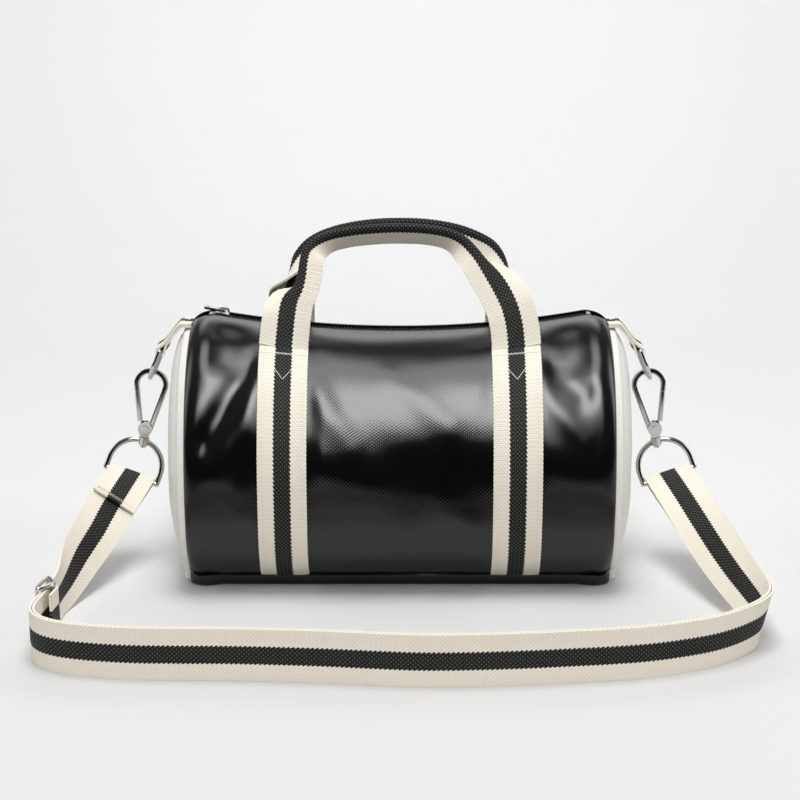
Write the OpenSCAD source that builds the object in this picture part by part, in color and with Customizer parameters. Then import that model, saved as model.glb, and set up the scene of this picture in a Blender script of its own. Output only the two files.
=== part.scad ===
// Barrel bag: a round coated fabric duffel that lies on its flattened base,
// with pale domed end panels, striped webbing, two grab handles, a top zip and
// a clip on shoulder strap laid out in front of it.
// Millimetres, +Z up, +X along the barrel, the front faces -Y.
// The origin is the middle of the flat base.

/* [Bag body] */
// Length of the body between its end seams
body_l = 262; // [230:1:320]
// Depth of the body from front to rear
body_d = 160; // [140:1:190]
// Height of the body at its ends
body_h = 160; // [140:1:190]
// Thickness of a padded wall
wall_t = 1.6; // [1.2:0.1:3]
// How far the zip sags in the middle
top_sag = 10.5; // [3:0.5:14]
// How far each end panel bulges outwards
end_bulge = 16; // [8:1:20]
// Drop of the rounded edge next to each end seam
edge_drop = 7; // [3:0.5:9]
// Length of that rounded edge
edge_l = 14; // [8:1:20]
// Thickness of the lining
lining_t = 0.5; // [0.4:0.1:1]
// Thickness of the board in the base
board_t = 2; // [1:0.5:4]

/* [Zip] */
// Length of the zip between its stops
zip_l = 236; // [200:1:240]
// Thickness of the zip tape
tape_t = 0.8; // [0.5:0.1:1.2]
// Width of one row of the coil
coil_w = 2.6; // [2:0.1:3.5]
// Height of the coil
coil_h = 2; // [1.5:0.1:3]
// Length of the zip slider
slider_l = 9; // [7:0.5:14]
// Width of the zip slider
slider_w = 9; // [8:0.5:12]
// Length of the pull tab
pull_l = 13; // [10:1:30]

/* [Webbing] */
// Width of all the striped webbing
web_w = 30; // [24:1:36]
// Thickness of the webbing
web_t = 1.3; // [1:0.1:2]
// Distance between the middles of the two sewn straps of one side
strap_pitch = 140; // [110:1:160]
// Width of the tab over each end
tab_w = 24; // [18:1:24]

/* [Handles] */
// Rise of a handle above its stitching, measured along it
handle_rise = 72; // [60:1:90]
// Thickness of the folded grip
grip_t = 2.9; // [2.7:0.1:4]

/* [Metal rings] */
// Inside width of a tab ring
ring_w = 25; // [25:0.5:30]
// Inside depth of a tab ring
ring_d = 18.6; // [16:0.2:22]
// Wire of a tab ring
ring_wire = 3.2; // [2.6:0.2:4]

/* [Snap hooks] */
// Outside width of the eye of a hook
eye_w = 22; // [20:0.5:26]
// Middle of the eye to the gate rivet
hook_drop = 29.5; // [27:0.5:36]
// Width of the hook's bar, seen from the front
hook_bar = 3.5; // [3:0.1:4.5]
// Thickness of the hook's bar
hook_t = 3.4; // [3:0.1:4]
// Thickness of the forked knuckle
knuckle_t = 5.4; // [5:0.1:7]
// Radius of the gate rivet
rivet_r = 1.2; // [1:0.1:1.6]

/* [D loops] */
// Wire of a D loop
loop_wire = 3.5; // [3:0.1:4.5]
// Depth of a D loop between the middles of its crown and its bar
loop_d = 24; // [22:0.5:30]

/* [Shoulder strap] */
// How far the strap lies out to each side
strap_side = 210; // [200:1:240]
// How far the strap lies in front of the bag's middle
strap_front = 208; // [195:1:260]

/* [Hidden] */

$fn = 40;

// Clearances
fabric_gap = 0.3;
run_gap = 0.15;
slide_gap = 0.35;
overrun = 5;

// Body section
mid_z = body_h / 2;
belly_z = body_h * 0.3625;
top_h = body_h - belly_z;
half_d = body_d / 2;
half_l = body_l / 2;
base_dip = body_h * 0.028;
top_power = 2.05;
base_power = 2.8;
lip_power = 30;
lip_half = body_d * 0.376;
zip_angle = 5;
stitch_angle = 24.75;
seam_angle = 50;
panel_step = 105.25 / 13;
zip_half = zip_l / 2;
sag_r = (zip_half * zip_half + top_sag * top_sag) / (2 * top_sag);
sag_z = body_h - top_sag + sag_r;
// The sag is whole above the first share of the height and gone below the second
sag_whole = 0.93;
sag_gone = 0.55;
edge_front_share = 0.35;
station_shares = [-1, -0.985, -0.95, -0.915, -0.8, -0.6, -0.4, -0.2, 0,
    0.2, 0.4, 0.6, 0.8, 0.915, 0.95, 0.985, 1];
top_angles = [zip_angle, 10, 15, 20];
front_angles = concat([for (a = top_angles) 90 + a],
    [for (a = [90 + stitch_angle : panel_step : 270 - seam_angle]) a]);
lip_angles = [seam_angle, 48.4, 47.2, 46.05, 44.9, 43.5, 40, 28, 14, 0];
base_angles = concat([for (a = lip_angles) 270 - a],
    [for (i = [len(lip_angles) - 2 : -1 : 0]) 270 + lip_angles[i]]);
rear_angles = [for (i = [len(front_angles) - 1 : -1 : 0]) 540 - front_angles[i]];
round_angles = concat([90], front_angles,
    [for (i = [1 : len(base_angles) - 2]) base_angles[i]], rear_angles);
strap_angles = [for (a = [90 + stitch_angle : panel_step : 270 - seam_angle]) a];
dome_shares = [1, 0.97, 0.9, 0.78, 0.6, 0.35];
dome_power = 2.6;

function unit(v) = v / norm(v);
function across(v, along) = unit(v - (v * along) * along);
function sag_at(x) = top_sag - (sag_r - sqrt(sag_r * sag_r - pow(min(abs(x), zip_half), 2)));
function edge_at(x, a) = let (q = max(0, (abs(x) - half_l + edge_l) / edge_l),
        share = edge_front_share + (1 - edge_front_share) * pow(max(0, sin(a)), 1.5))
    edge_drop * share * (1 - sqrt(max(0, 1 - q * q)));
function sag_share(a) = let (t = min(1, max(0, (sin(a) - sag_gone) / (sag_whole - sag_gone)))) t * t * (3 - 2 * t);
function lower_r(a, ry, rz, power) =
    1 / pow(pow(abs(cos(a)) / ry, power) + pow(abs(sin(a)) / rz, power), 1 / power);

// A point of the body's surface at x, at angle a round the barrel, lifted off it:
// a barrel above, a fuller belly below it, and the base's box with its standing lip
function skin_point(x, a, lift) = let (drop = edge_at(x, a), ry = half_d - drop + lift)
    sin(a) >= 0
        ? [x, ry * sign(cos(a)) * pow(abs(cos(a)), 2 / top_power),
            belly_z + (top_h - drop + lift) * pow(sin(a), 2 / top_power) - sag_at(x) * sag_share(a)]
        : let (r = abs(a - 270) > seam_angle + 0.01
                ? lower_r(a, ry, belly_z + base_dip - drop + lift, base_power)
                : lower_r(a, lip_half - drop + lift, belly_z + lift, lip_power))
            [x, r * cos(a), max(belly_z + r * sin(a), -lift)];

// Faces of a grid of nu by nv points, seen from its outer side
function grid_faces(nu, nv, first, flip) = [for (i = [0 : nu - 2], j = [0 : nv - 2], k = [0, 1])
    let (p = first + i * nv + j, a = k == 0 ? [p, p + 1, p + nv + 1] : [p, p + nv + 1, p + nv])
    flip ? [a[2], a[1], a[0]] : a];

// A sheet between two grids of points: outer and inner, nu by nv each
module sheet(outer, inner, nu, nv) {
    n = nu * nv;
    rim = concat([for (j = [0 : nv - 2]) j],
        [for (i = [0 : nu - 2]) i * nv + nv - 1],
        [for (j = [nv - 1 : -1 : 1]) (nu - 1) * nv + j],
        [for (i = [nu - 1 : -1 : 1]) i * nv]);
    m = len(rim);
    sides = [for (k = [0 : m - 1]) let (a = rim[k], b = rim[(k + 1) % m]) [b, a, a + n, b + n]];
    polyhedron(points = concat(outer, inner),
        faces = concat(grid_faces(nu, nv, 0, false), grid_faces(nu, nv, n, true), sides),
        convexity = 8);
}

// A part of the barrel's wall between two lifts, over stations xs and angles as
module skin(xs, as, low, high) {
    sheet([for (x = xs, a = as) skin_point(x, a, high)],
        [for (x = xs, a = as) skin_point(x, a, low)], len(xs), len(as));
}

// A tube through rings of k points each, closed at both ends
module loft(rings) {
    n = len(rings);
    k = len(rings[0]);
    polyhedron(points = [for (r = rings, p = r) p],
        faces = concat(
            [for (i = [0 : n - 2], j = [0 : k - 1]) [i * k + j, (i + 1) * k + j, (i + 1) * k + (j + 1) % k]],
            [for (i = [0 : n - 2], j = [0 : k - 1]) [i * k + j, (i + 1) * k + (j + 1) % k, i * k + (j + 1) % k]],
            [[for (j = [0 : k - 1]) j]],
            [[for (j = [k - 1 : -1 : 0]) (n - 1) * k + j]]),
        convexity = 8);
}

stations = [for (s = station_shares) s * half_l];

// Body panels
module front_panel() {
    color("#1d1d1f") skin(stations, front_angles, -wall_t, 0);
}

module rear_panel() {
    color("#1d1d1f") mirror([0, 1, 0]) skin(stations, front_angles, -wall_t, 0);
}

module bottom_panel() {
    color("#161617") skin(stations, base_angles, -wall_t, 0);
}

// A ring of the dome at a share of its radius, pushed out past the end seam by out
function dome_ring(share, out, grow) = [for (a = round_angles)
    let (p = skin_point(half_l, a, grow)) [half_l + out + end_bulge * sqrt(1 - pow(share, dome_power)),
        p[1] * share, mid_z + (p[2] - mid_z) * share]];

function fan_faces(first, tip, k, flip) = [for (j = [0 : k - 1]) let (a = first + j, b = first + (j + 1) % k)
    flip ? [tip, b, a] : [tip, a, b]];

module end_dome() {
    k = len(round_angles);
    m = len(dome_shares);
    outer = [for (s = dome_shares, p = dome_ring(s, wall_t, 0)) p];
    inner = [for (s = dome_shares, p = dome_ring(s, 0, 0)) p];
    tips = [[half_l + wall_t + end_bulge, 0, mid_z], [half_l + end_bulge, 0, mid_z]];
    n = k * m;
    walls = [for (i = [0 : m - 2], j = [0 : k - 1], t = [0, 1]) let (a = i * k + j, b = i * k + (j + 1) % k)
        t == 0 ? [a, a + k, b + k] : [a, b + k, b]];
    backs = [for (f = walls) [f[2] + n, f[1] + n, f[0] + n]];
    rim = [for (j = [0 : k - 1]) let (b = (j + 1) % k) [j + n, j, b, b + n]];
    polyhedron(points = concat(outer, inner, tips),
        faces = concat(walls, backs, rim, fan_faces(n - k, 2 * n, k, true), fan_faces(2 * n - k, 2 * n + 1, k, false)),
        convexity = 4);
}

module right_end_panel() {
    color("#e6e4de") end_dome();
}

module left_end_panel() {
    color("#e6e4de") mirror([1, 0, 0]) end_dome();
}

// Inside of the bag
lining_high = -wall_t - 3 * fabric_gap;
lining_low = lining_high - lining_t;
lining_angles = concat([for (a = front_angles) if (a > 90 + zip_angle) a],
    [for (i = [1 : len(base_angles) - 2]) base_angles[i]],
    [for (a = rear_angles) if (a < 450 - zip_angle) a]);
lining_end = half_l - fabric_gap - lining_t;

module lining() {
    color("#34353a") skin([for (s = station_shares) s * (lining_end - fabric_gap)],
        lining_angles, lining_low, lining_high);
}

module lining_end_panel() {
    translate([lining_end, 0, 0])
    rotate([90, 0, 90])
    linear_extrude(lining_t)
    polygon([for (a = round_angles) let (p = skin_point(half_l, a, lining_high)) [p[1], p[2]]]);
}

module lining_ends() {
    color("#34353a") {
        lining_end_panel();
        mirror([1, 0, 0]) lining_end_panel();
    }
}

board_l = body_l * 0.9;
board_w = body_d * 0.44;
board_r = body_d * 0.05;
board_z = fabric_gap - lining_low;

module rounded_plate(l, w, r, t) {
    linear_extrude(t) {
        square([l - 2 * r, w], center = true);
        square([l, w - 2 * r], center = true);
        for (x = [-1, 1], y = [-1, 1]) translate([x * (l / 2 - r), y * (w / 2 - r)]) circle(r);
    }
}

module base_board() {
    color("#8d8577") translate([0, 0, board_z]) rounded_plate(board_l, board_w, board_r, board_t);
}

// Zip: two tapes sewn under the panels' edges, two rows of coil, stops at the ends
slit = 1;
// Angle at which the top is off y from the middle
function top_angle(y) = asin(pow(y / half_d, top_power / 2));
coil_inner = top_angle(slit / 2);
coil_outer = top_angle(slit / 2 + coil_w);
tape_angles = [90 + top_angle(slit + coil_w / 4), 90 + zip_angle, 90 + top_angles[1]];
coil_low = run_gap - wall_t;
coil_high = coil_low + coil_h;
tape_stations = [for (s = station_shares) s * half_l];
coil_shares = [-1, -0.87, -0.74, -0.6, -0.45, -0.3, -0.15, 0, 0.15, 0.3, 0.45, 0.6, 0.74, 0.87, 1];
coil_stations = [for (s = coil_shares) s * zip_half];

module tape_half() {
    skin(tape_stations, tape_angles, -wall_t - tape_t, -wall_t);
}

module zip_tape_front() {
    color("#121213") tape_half();
}

module zip_tape_rear() {
    color("#121213") mirror([0, 1, 0]) tape_half();
}

module coil_half() {
    skin(coil_stations, [90 + coil_inner, 90 + coil_outer], coil_low, coil_high);
}

module zip_coil_front() {
    color("#0c0c0d") coil_half();
}

module zip_coil_rear() {
    color("#0c0c0d") mirror([0, 1, 0]) coil_half();
}

stop_l = 2.5;
stop_w = coil_w * 0.8;

module zip_stops() {
    color("#b9bcc0")
    for (x = [-1, 1], y = [-1, 1])
        translate([x * (zip_half + fabric_gap + stop_l / 2), y * (slit + coil_w) / 2, body_h + coil_low])
        rounded_plate(stop_l, stop_w, stop_w / 4, coil_h);
}

// Zip slider: a wing above and a wing below the tapes, joined by a thin post between the rows
wing_t = 1;
slider_rest = zip_half - slider_l / 2 - slide_gap;
slider_turn = asin(slider_rest / sag_r);
wing_low = coil_high + slide_gap;
flange_t = 1.1;
flange_low = slide_gap - wall_t + slide_gap / 2;
under_wing = -wall_t - tape_t - 2 * slide_gap - wing_t;
post_t = 0.6;
post_l = 2.4;
bridge_t = 1.2;
bridge_w = 3;
bridge_h = 3.4;
bridge_l = 6.4;
eye_r = 0.9;
pull_wire_r = eye_r - run_gap;
pull_w = 5;
pull_t = 1.2;

module on_zip(turn) {
    translate([0, 0, sag_z]) rotate([0, turn, 0]) translate([0, 0, -sag_r]) children();
}

module wing(z) {
    translate([0, 0, z]) rounded_plate(slider_l, slider_w, slider_w * 0.24, wing_t);
}

bridge_x = slider_l / 2 - bridge_l / 2;
pull_x = bridge_x;
pull_z = wing_low + wing_t + bridge_h - bridge_t - eye_r;

module bridge() {
    translate([bridge_x, bridge_w / 2, wing_low + wing_t])
    rotate([90, 0, 0])
    linear_extrude(bridge_w)
    difference() {
        union() {
            translate([-bridge_l / 2, 0]) square([bridge_l, bridge_h / 2]);
            translate([-bridge_l / 2 + bridge_h / 2, 0]) square([bridge_l - bridge_h, bridge_h]);
            for (s = [-1, 1]) translate([s * (bridge_l / 2 - bridge_h / 2), bridge_h / 2]) circle(bridge_h / 2);
        }
        translate([-bridge_l / 2 + bridge_t, 0]) square([bridge_l - 2 * bridge_t, bridge_h - bridge_t]);
    }
}

module slider_body() {
    wing(wing_low);
    wing(under_wing);
    for (s = [-1, 1]) translate([0, s * (slider_w / 2 - flange_t / 2), (flange_low + wing_low + wing_t) / 2])
        cube([slider_l - slider_w * 0.48, flange_t, wing_low + wing_t - flange_low], center = true);
    translate([-slider_l / 2 + post_l / 2 + slider_w * 0.12, 0, (under_wing + wing_low + wing_t) / 2])
        cube([post_l, post_t, wing_low + wing_t - under_wing], center = true);
    bridge();
}

module zip_slider() {
    color("#c4c7cb") on_zip(slider_turn) slider_body();
}

module pull_body() {
    rotate([90, 0, 0]) cylinder(r = pull_wire_r, h = bridge_w + 2 * pull_t + 2 * run_gap, center = true);
    for (s = [-1, 1]) translate([-pull_l * 0.14, s * (bridge_w / 2 + run_gap + pull_t / 2), 0])
        cube([pull_l * 0.28 + pull_wire_r * 2, pull_t, pull_wire_r * 2], center = true);
    translate([-pull_l * 0.28 - pull_wire_r, 0, -pull_wire_r])
    linear_extrude(pull_wire_r * 2)
    difference() {
        union() {
            translate([-pull_l * 0.5, -pull_w / 2]) square([pull_l * 0.5, pull_w]);
            translate([-pull_l * 0.5, 0]) circle(pull_w / 2);
            translate([-pull_t, -bridge_w / 2 - run_gap - pull_t])
                square([pull_t, bridge_w + 2 * run_gap + 2 * pull_t]);
        }
        translate([-pull_l * 0.5, 0]) circle(pull_w * 0.25);
    }
}

module zip_pull() {
    color("#c4c7cb") on_zip(slider_turn) translate([pull_x, 0, pull_z]) pull_body();
}

// Sewn webbing straps on the panels
module sewn_strap(x) {
    skin([x - web_w / 2, x + web_w / 2], strap_angles, fabric_gap, fabric_gap + web_t);
}

module front_strap_left() {
    color("#e9dfc6") sewn_strap(-strap_pitch / 2);
}

module front_strap_right() {
    color("#e9dfc6") sewn_strap(strap_pitch / 2);
}

module rear_strap_left() {
    color("#e9dfc6") mirror([0, 1, 0]) sewn_strap(-strap_pitch / 2);
}

module rear_strap_right() {
    color("#e9dfc6") mirror([0, 1, 0]) sewn_strap(strap_pitch / 2);
}

// Handles: flat legs that fold in half along the grip, hinged where the stitching ends
front_lean = 20;
rear_lean = 11;
hinge_lift = fabric_gap + web_t + run_gap;
hinge_y = skin_point(strap_pitch / 2 + web_w / 2, 90 + stitch_angle, hinge_lift)[1];
hinge_z = skin_point(strap_pitch / 2 + web_w / 2, 90 + stitch_angle, hinge_lift)[2];
// Each row is a share of half the strap pitch, a share of the rise, and how far it is folded
grip_shares = [[-1, 0.006, 0], [-0.99, 0.19, 0], [-0.955, 0.4, 0], [-0.9, 0.58, 0.15], [-0.8, 0.76, 0.6],
    [-0.66, 0.89, 1], [-0.42, 0.965, 1], [-0.14, 0.998, 1], [0.14, 0.998, 1], [0.42, 0.965, 1],
    [0.66, 0.89, 1], [0.8, 0.76, 0.6], [0.9, 0.58, 0.15], [0.955, 0.4, 0], [0.99, 0.19, 0], [1, 0.006, 0]];

function curve_point(p, i, u) = let (a = p[max(i - 1, 0)], b = p[i], c = p[i + 1], d = p[min(i + 2, len(p) - 1)])
    (2 * b + (c - a) * u + (2 * a - 5 * b + 4 * c - d) * u * u + (3 * b - a - 3 * c + d) * u * u * u) / 2;
function curve(p, m) = concat([for (i = [0 : len(p) - 2], j = [0 : m - 1]) curve_point(p, i, j / m)],
    [p[len(p) - 1]]);
function heading(p, i) = unit(p[min(i + 1, len(p) - 1)] - p[max(i - 1, 0)]);
function section(c, w, n, width, thick) = [c - w * width / 2 - n * thick / 2, c + w * width / 2 - n * thick / 2,
    c + w * width / 2 + n * thick / 2, c - w * width / 2 + n * thick / 2];

handle_path = curve([for (s = grip_shares) [s[0] * strap_pitch / 2, s[1] * handle_rise, s[2]]], 2);

function handle_ring(i) = let (q = handle_path[i], flat = [for (p = handle_path) [p[0], p[1]]],
        t = i == 0 ? [0, 1] : i == len(flat) - 1 ? [0, -1] : heading(flat, i), inward = [t[1], -t[0]],
        fold = min(1, max(0, q[2])), width = web_w * (1 - fold / 2),
        thick = web_t + (grip_t - web_t) * fold, c = [q[0], q[1]] + inward * width * fold / 2)
    section([c[0], 0, c[1]], [inward[0], 0, inward[1]], [0, 1, 0], width, thick);

module handle(lean) {
    translate([0, hinge_y, hinge_z])
    rotate([-lean, 0, 0])
    translate([0, run_gap + web_t / 2, 0])
    loft([for (i = [0 : len(handle_path) - 1]) handle_ring(i)]);
}

module front_handle() {
    color("#e9dfc6") handle(front_lean);
}

module rear_handle() {
    color("#e9dfc6") mirror([0, 1, 0]) handle(rear_lean);
}

// Snap hook places, right hand side; the left side is its mirror image
hook_tilt = 9.5;
eye_r_out = eye_w / 2;
arc_r = eye_r_out - hook_bar / 2;
eye_x = half_l + wall_t + end_bulge + eye_r_out * 1.035;
eye_z = body_h * 0.709;
hang_gap = 1.2;
ring_tilt = 22;
ring_r = ring_w / 2 + ring_wire / 2;
ring_span = ring_d + ring_wire;
crown_z = eye_z + arc_r - hook_t / 2 - hang_gap - ring_wire / 2;
ring_x = eye_x - ring_span * sin(ring_tilt);
ring_z = crown_z + ring_span * cos(ring_tilt);

module rod(r, h) {
    translate([0, 0, -h / 2]) cylinder(r = r, h = h);
}

// A D shaped wire in the XZ plane's sense: bar along Y at the origin, crown below at -Z
module d_wire(r, span, wire, straight) {
    rotate([90, 0, 0]) rod(wire / 2, 2 * r);
    for (s = [-1, 1]) {
        translate([0, s * r, 0]) sphere(wire / 2);
        translate([0, s * r, -straight]) cylinder(r = wire / 2, h = straight);
    }
    translate([0, 0, -straight])
    rotate([0, 90, 0])
    rotate([0, 0, -90])
    rotate_extrude(angle = 180)
    translate([r, 0]) circle(wire / 2);
}

module ring() {
    translate([ring_x, 0, ring_z]) rotate([0, -ring_tilt, 0])
        d_wire(ring_r, ring_span, ring_wire, ring_span - ring_r);
}

module right_ring() {
    color("#c4c7cb") ring();
}

module left_ring() {
    color("#c4c7cb") mirror([1, 0, 0]) ring();
}

// Side tabs: webbing folded round the ring's bar and sewn to the end panel's top
tab_eye = ring_wire / 2 + slide_gap;
tab_t = 2 * web_t;
tab_eye_r = tab_eye + web_t;
tab_root_x = half_l + wall_t / 4;
tab_bend_x = half_l + wall_t + end_bulge * 0.44;
tab_root_z = body_h - edge_drop + fabric_gap;
tab_bend_z = tab_root_z;
tab_slope = atan2(tab_bend_z + tab_t / 2 - ring_z, ring_x - tab_bend_x);

module tab() {
    translate([0, tab_w / 2, 0])
    rotate([90, 0, 0])
    linear_extrude(tab_w)
    difference() {
        union() {
            translate([ring_x, ring_z]) circle(tab_eye_r);
            polygon([[ring_x - tab_t / 2 * sin(tab_slope), ring_z - tab_t / 2 * cos(tab_slope)],
                [ring_x + tab_t / 2 * sin(tab_slope), ring_z + tab_t / 2 * cos(tab_slope)],
                [tab_bend_x + tab_t / 2 * sin(tab_slope), tab_bend_z + tab_t],
                [tab_root_x, tab_root_z + tab_t], [tab_root_x, tab_root_z],
                [tab_bend_x - tab_t / 2 * sin(tab_slope), tab_bend_z]]);
        }
        translate([ring_x, ring_z]) circle(tab_eye);
    }
}

module right_tab() {
    color("#e9dfc6") tab();
}

module left_tab() {
    color("#e9dfc6") mirror([1, 0, 0]) tab();
}

tab_rivet_r = 2.4;
tab_rivet_h = 1.4;

module tab_rivet() {
    translate([(tab_root_x + tab_bend_x) / 2, 0, tab_root_z + tab_t])
    intersection() {
        translate([0, 0, tab_rivet_h - tab_rivet_r * 1.6]) sphere(tab_rivet_r * 1.6);
        cylinder(r = tab_rivet_r, h = tab_rivet_h);
    }
}

module tab_rivets() {
    color("#c4c7cb") {
        tab_rivet();
        mirror([1, 0, 0]) tab_rivet();
    }
}

// Snap hook, drawn flat in its own plane: the eye's middle is the origin, +X is its gate side
knuckle_r = 4.6;
leg_r = 3;
leg_taper = asin((arc_r - leg_r) / hook_drop);
leg_l = sqrt(hook_drop * hook_drop - pow(arc_r - leg_r, 2));
nose_l = 3.4;
gate_gap = 0.3;
slot_t = 3.2;
tongue_t = 1.4;
tongue_z = gate_gap - slot_t / 2;
spring_t = 0.9;
spring_z = slot_t / 2 - gate_gap - spring_t;
spring_wire = 0.5;
stem_r = 1.6;
neck_y = -hook_drop - 5.8;
collar_h = 5;
collar_r = 3.5;
collar_y = neck_y - run_gap * 2 - collar_h / 2;
head_h = 1.6;
head_r = 2.5;
stem_end = collar_y - collar_h / 2 - run_gap * 2 - head_h;
bar_round = 0.9;
leg_share = 0.95;
leg_start = -0.6;

module bar_section() {
    square([hook_bar - 2 * bar_round, hook_t], center = true);
    square([hook_bar, hook_t - 2 * bar_round], center = true);
    for (x = [-1, 1], y = [-1, 1])
        translate([x * (hook_bar / 2 - bar_round), y * (hook_t / 2 - bar_round)]) circle(bar_round);
}

// A straight bar from the arc's end towards the knuckle, on side s, between two distances
module leg(s, from, to) {
    translate([s * arc_r * cos(leg_taper), -arc_r * sin(leg_taper), 0])
    rotate([0, 0, -s * leg_taper])
    rotate([90, 0, 0])
    translate([0, 0, from])
    linear_extrude(to - from) scale([leg_share, leg_share]) bar_section();
}

module hook_place() {
    translate([eye_x, 0, eye_z]) rotate([0, -hook_tilt, 0]) rotate([90, 0, 0]) children();
}

module hook_body() {
    rotate([0, 0, -leg_taper])
    rotate_extrude(angle = 180 + 2 * leg_taper)
    translate([arc_r, 0]) bar_section();
    leg(1, leg_start, nose_l);
    difference() {
        union() {
            leg(-1, leg_start, leg_l);
            translate([0, -hook_drop, -knuckle_t / 2])
            linear_extrude(knuckle_t) {
                circle(knuckle_r);
                polygon([[-knuckle_r * 0.94, -knuckle_r * 0.34], [knuckle_r * 0.94, -knuckle_r * 0.34],
                    [stem_r * 1.3, neck_y + hook_drop], [-stem_r * 1.3, neck_y + hook_drop]]);
            }
        }
        translate([-leg_r + hook_bar / 2 + gate_gap, -hook_drop - knuckle_r, -slot_t / 2])
            cube([knuckle_r * 3, knuckle_r * 2 + overrun, slot_t]);
        translate([0, -hook_drop, -slot_t / 2]) cylinder(r = knuckle_r - slot_rim, h = slot_t);
        translate([0, -hook_drop, 0]) rod(rivet_r, knuckle_t + overrun);
    }
    translate([0, neck_y, 0]) rotate([90, 0, 0]) cylinder(r = stem_r, h = neck_y - stem_end);
    translate([0, stem_end + head_h, 0]) rotate([90, 0, 0]) cylinder(r1 = head_r, r2 = head_r * 0.7, h = head_h);
}

module right_hook() {
    color("#c4c7cb") hook_place() hook_body();
}

module left_hook() {
    color("#c4c7cb") mirror([1, 0, 0]) hook_place() hook_body();
}

// Gate: a bar that shuts against the nose, with a thin tongue round the rivet
slot_rim = 1.1;
tongue_r = knuckle_r - slot_rim - gate_gap;
gate_reach = knuckle_r + gate_gap * 2;

module gate_body() {
    difference() {
        union() {
            leg(1, nose_l + gate_gap * 1.4, leg_l - gate_reach);
            translate([0, -hook_drop, tongue_z]) cylinder(r = tongue_r, h = tongue_t);
            translate([leg_r * cos(leg_taper), -hook_drop - leg_r * sin(leg_taper), tongue_z])
            rotate([0, 0, leg_taper])
            translate([-hook_bar * 0.42, 0, 0])
                cube([hook_bar * 0.84, gate_reach + gate_gap, tongue_t]);
        }
        translate([0, -hook_drop, 0]) rod(rivet_r + run_gap / 2, knuckle_t);
    }
}

module right_gate() {
    color("#c4c7cb") hook_place() gate_body();
}

module left_gate() {
    color("#c4c7cb") mirror([1, 0, 0]) hook_place() gate_body();
}

rivet_head_r = 2.2;
rivet_head_h = 0.5;

module gate_rivet() {
    translate([0, -hook_drop, 0]) {
        rod(rivet_r, knuckle_t);
        for (s = [-1, 1]) translate([0, 0, s * (knuckle_t + rivet_head_h) / 2]) rod(rivet_head_r, rivet_head_h);
    }
}

// Coil spring round the rivet beside the tongue, its tail in the slot's blind corner
module gate_spring() {
    translate([0, -hook_drop, spring_z])
    linear_extrude(spring_t)
    difference() {
        union() {
            circle(rivet_r + run_gap + spring_wire);
            translate([-rivet_r / 2, -rivet_r - run_gap - spring_wire]) square([spring_wire * 3.2, spring_wire]);
        }
        circle(rivet_r + run_gap);
    }
}

module right_gate_spring() {
    color("#8f9296") hook_place() gate_spring();
}

module left_gate_spring() {
    color("#8f9296") mirror([1, 0, 0]) hook_place() gate_spring();
}

module right_gate_rivet() {
    color("#a9acb0") hook_place() gate_rivet();
}

module left_gate_rivet() {
    color("#a9acb0") mirror([1, 0, 0]) hook_place() gate_rivet();
}

// D loops: round wire with a bored collar on its crown that turns on the hook's stem
loop_tilt = 20.5;
loop_lean = 15;
loop_r = (web_w + loop_wire) / 2 + 0.5;
collar_x = eye_x - collar_y * sin(hook_tilt);
collar_z = eye_z + collar_y * cos(hook_tilt);

module loop_place() {
    translate([collar_x, 0, collar_z]) rotate([0, -loop_tilt, 0]) rotate([-loop_lean, 0, 0]) children();
}

module d_loop() {
    difference() {
        union() {
            loop_place() translate([0, 0, -loop_d]) rotate([0, 0, 90]) rotate([180, 0, 0])
                d_wire(loop_r, loop_d, loop_wire, loop_d - loop_r);
            hook_place() translate([0, collar_y, 0]) rotate([90, 0, 0]) rod(collar_r, collar_h);
        }
        hook_place() translate([0, collar_y, 0]) rotate([90, 0, 0]) rod(stem_r + run_gap, collar_h + overrun);
    }
}

module right_d_loop() {
    color("#c4c7cb") d_loop();
}

module left_d_loop() {
    color("#c4c7cb") mirror([1, 0, 0]) d_loop();
}

// Middle of a D loop's bar, right hand side
bar_x = collar_x + loop_d * cos(loop_lean) * sin(loop_tilt);
bar_y = -loop_d * sin(loop_lean);
bar_z = collar_z - loop_d * cos(loop_lean) * cos(loop_tilt);

// Shoulder strap: its middle line from the left loop, along the floor, to the right loop.
// Each row is a share of the side reach, a share of the front reach, a share of the
// loop bar's height above the lying strap, and the turn of the webbing's width
route_shares = [[-0.868, 0.165, 0.76, 146], [-0.897, 0.26, 0.5, 133], [-0.928, 0.36, 0.27, 118],
    [-0.947, 0.46, 0.08, 102], [-0.955, 0.53, 0.02, 92], [-0.959, 0.6, 0, 90], [-0.963, 0.67, 0, 90],
    [-0.975, 0.76, 0, 90], [-0.972, 0.83, 0, 90], [-0.93, 0.89, 0, 90], [-0.84, 0.93, 0, 90],
    [-0.68, 0.955, 0, 90], [-0.44, 0.96, 0, 90], [-0.2, 0.975, 0, 90], [0.04, 1, 0, 90],
    [0.24, 0.995, 0, 90], [0.44, 0.975, 0, 90], [0.64, 0.945, 0, 90], [0.82, 0.88, 0, 88],
    [0.93, 0.8, 0.01, 84], [0.975, 0.745, 0.04, 79], [0.99, 0.69, 0.07, 74], [0.983, 0.62, 0.11, 69],
    [0.955, 0.5, 0.22, 58], [0.925, 0.39, 0.38, 46], [0.892, 0.27, 0.6, 34], [0.86, 0.16, 0.82, 25]];
slider_row = 6;
mid_web = web_w / 2;
lie_z = mid_web;

function route_point(s) = [s[0] * strap_side, -s[1] * strap_front, lie_z + s[2] * (bar_z - lie_z), s[3]];

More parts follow.
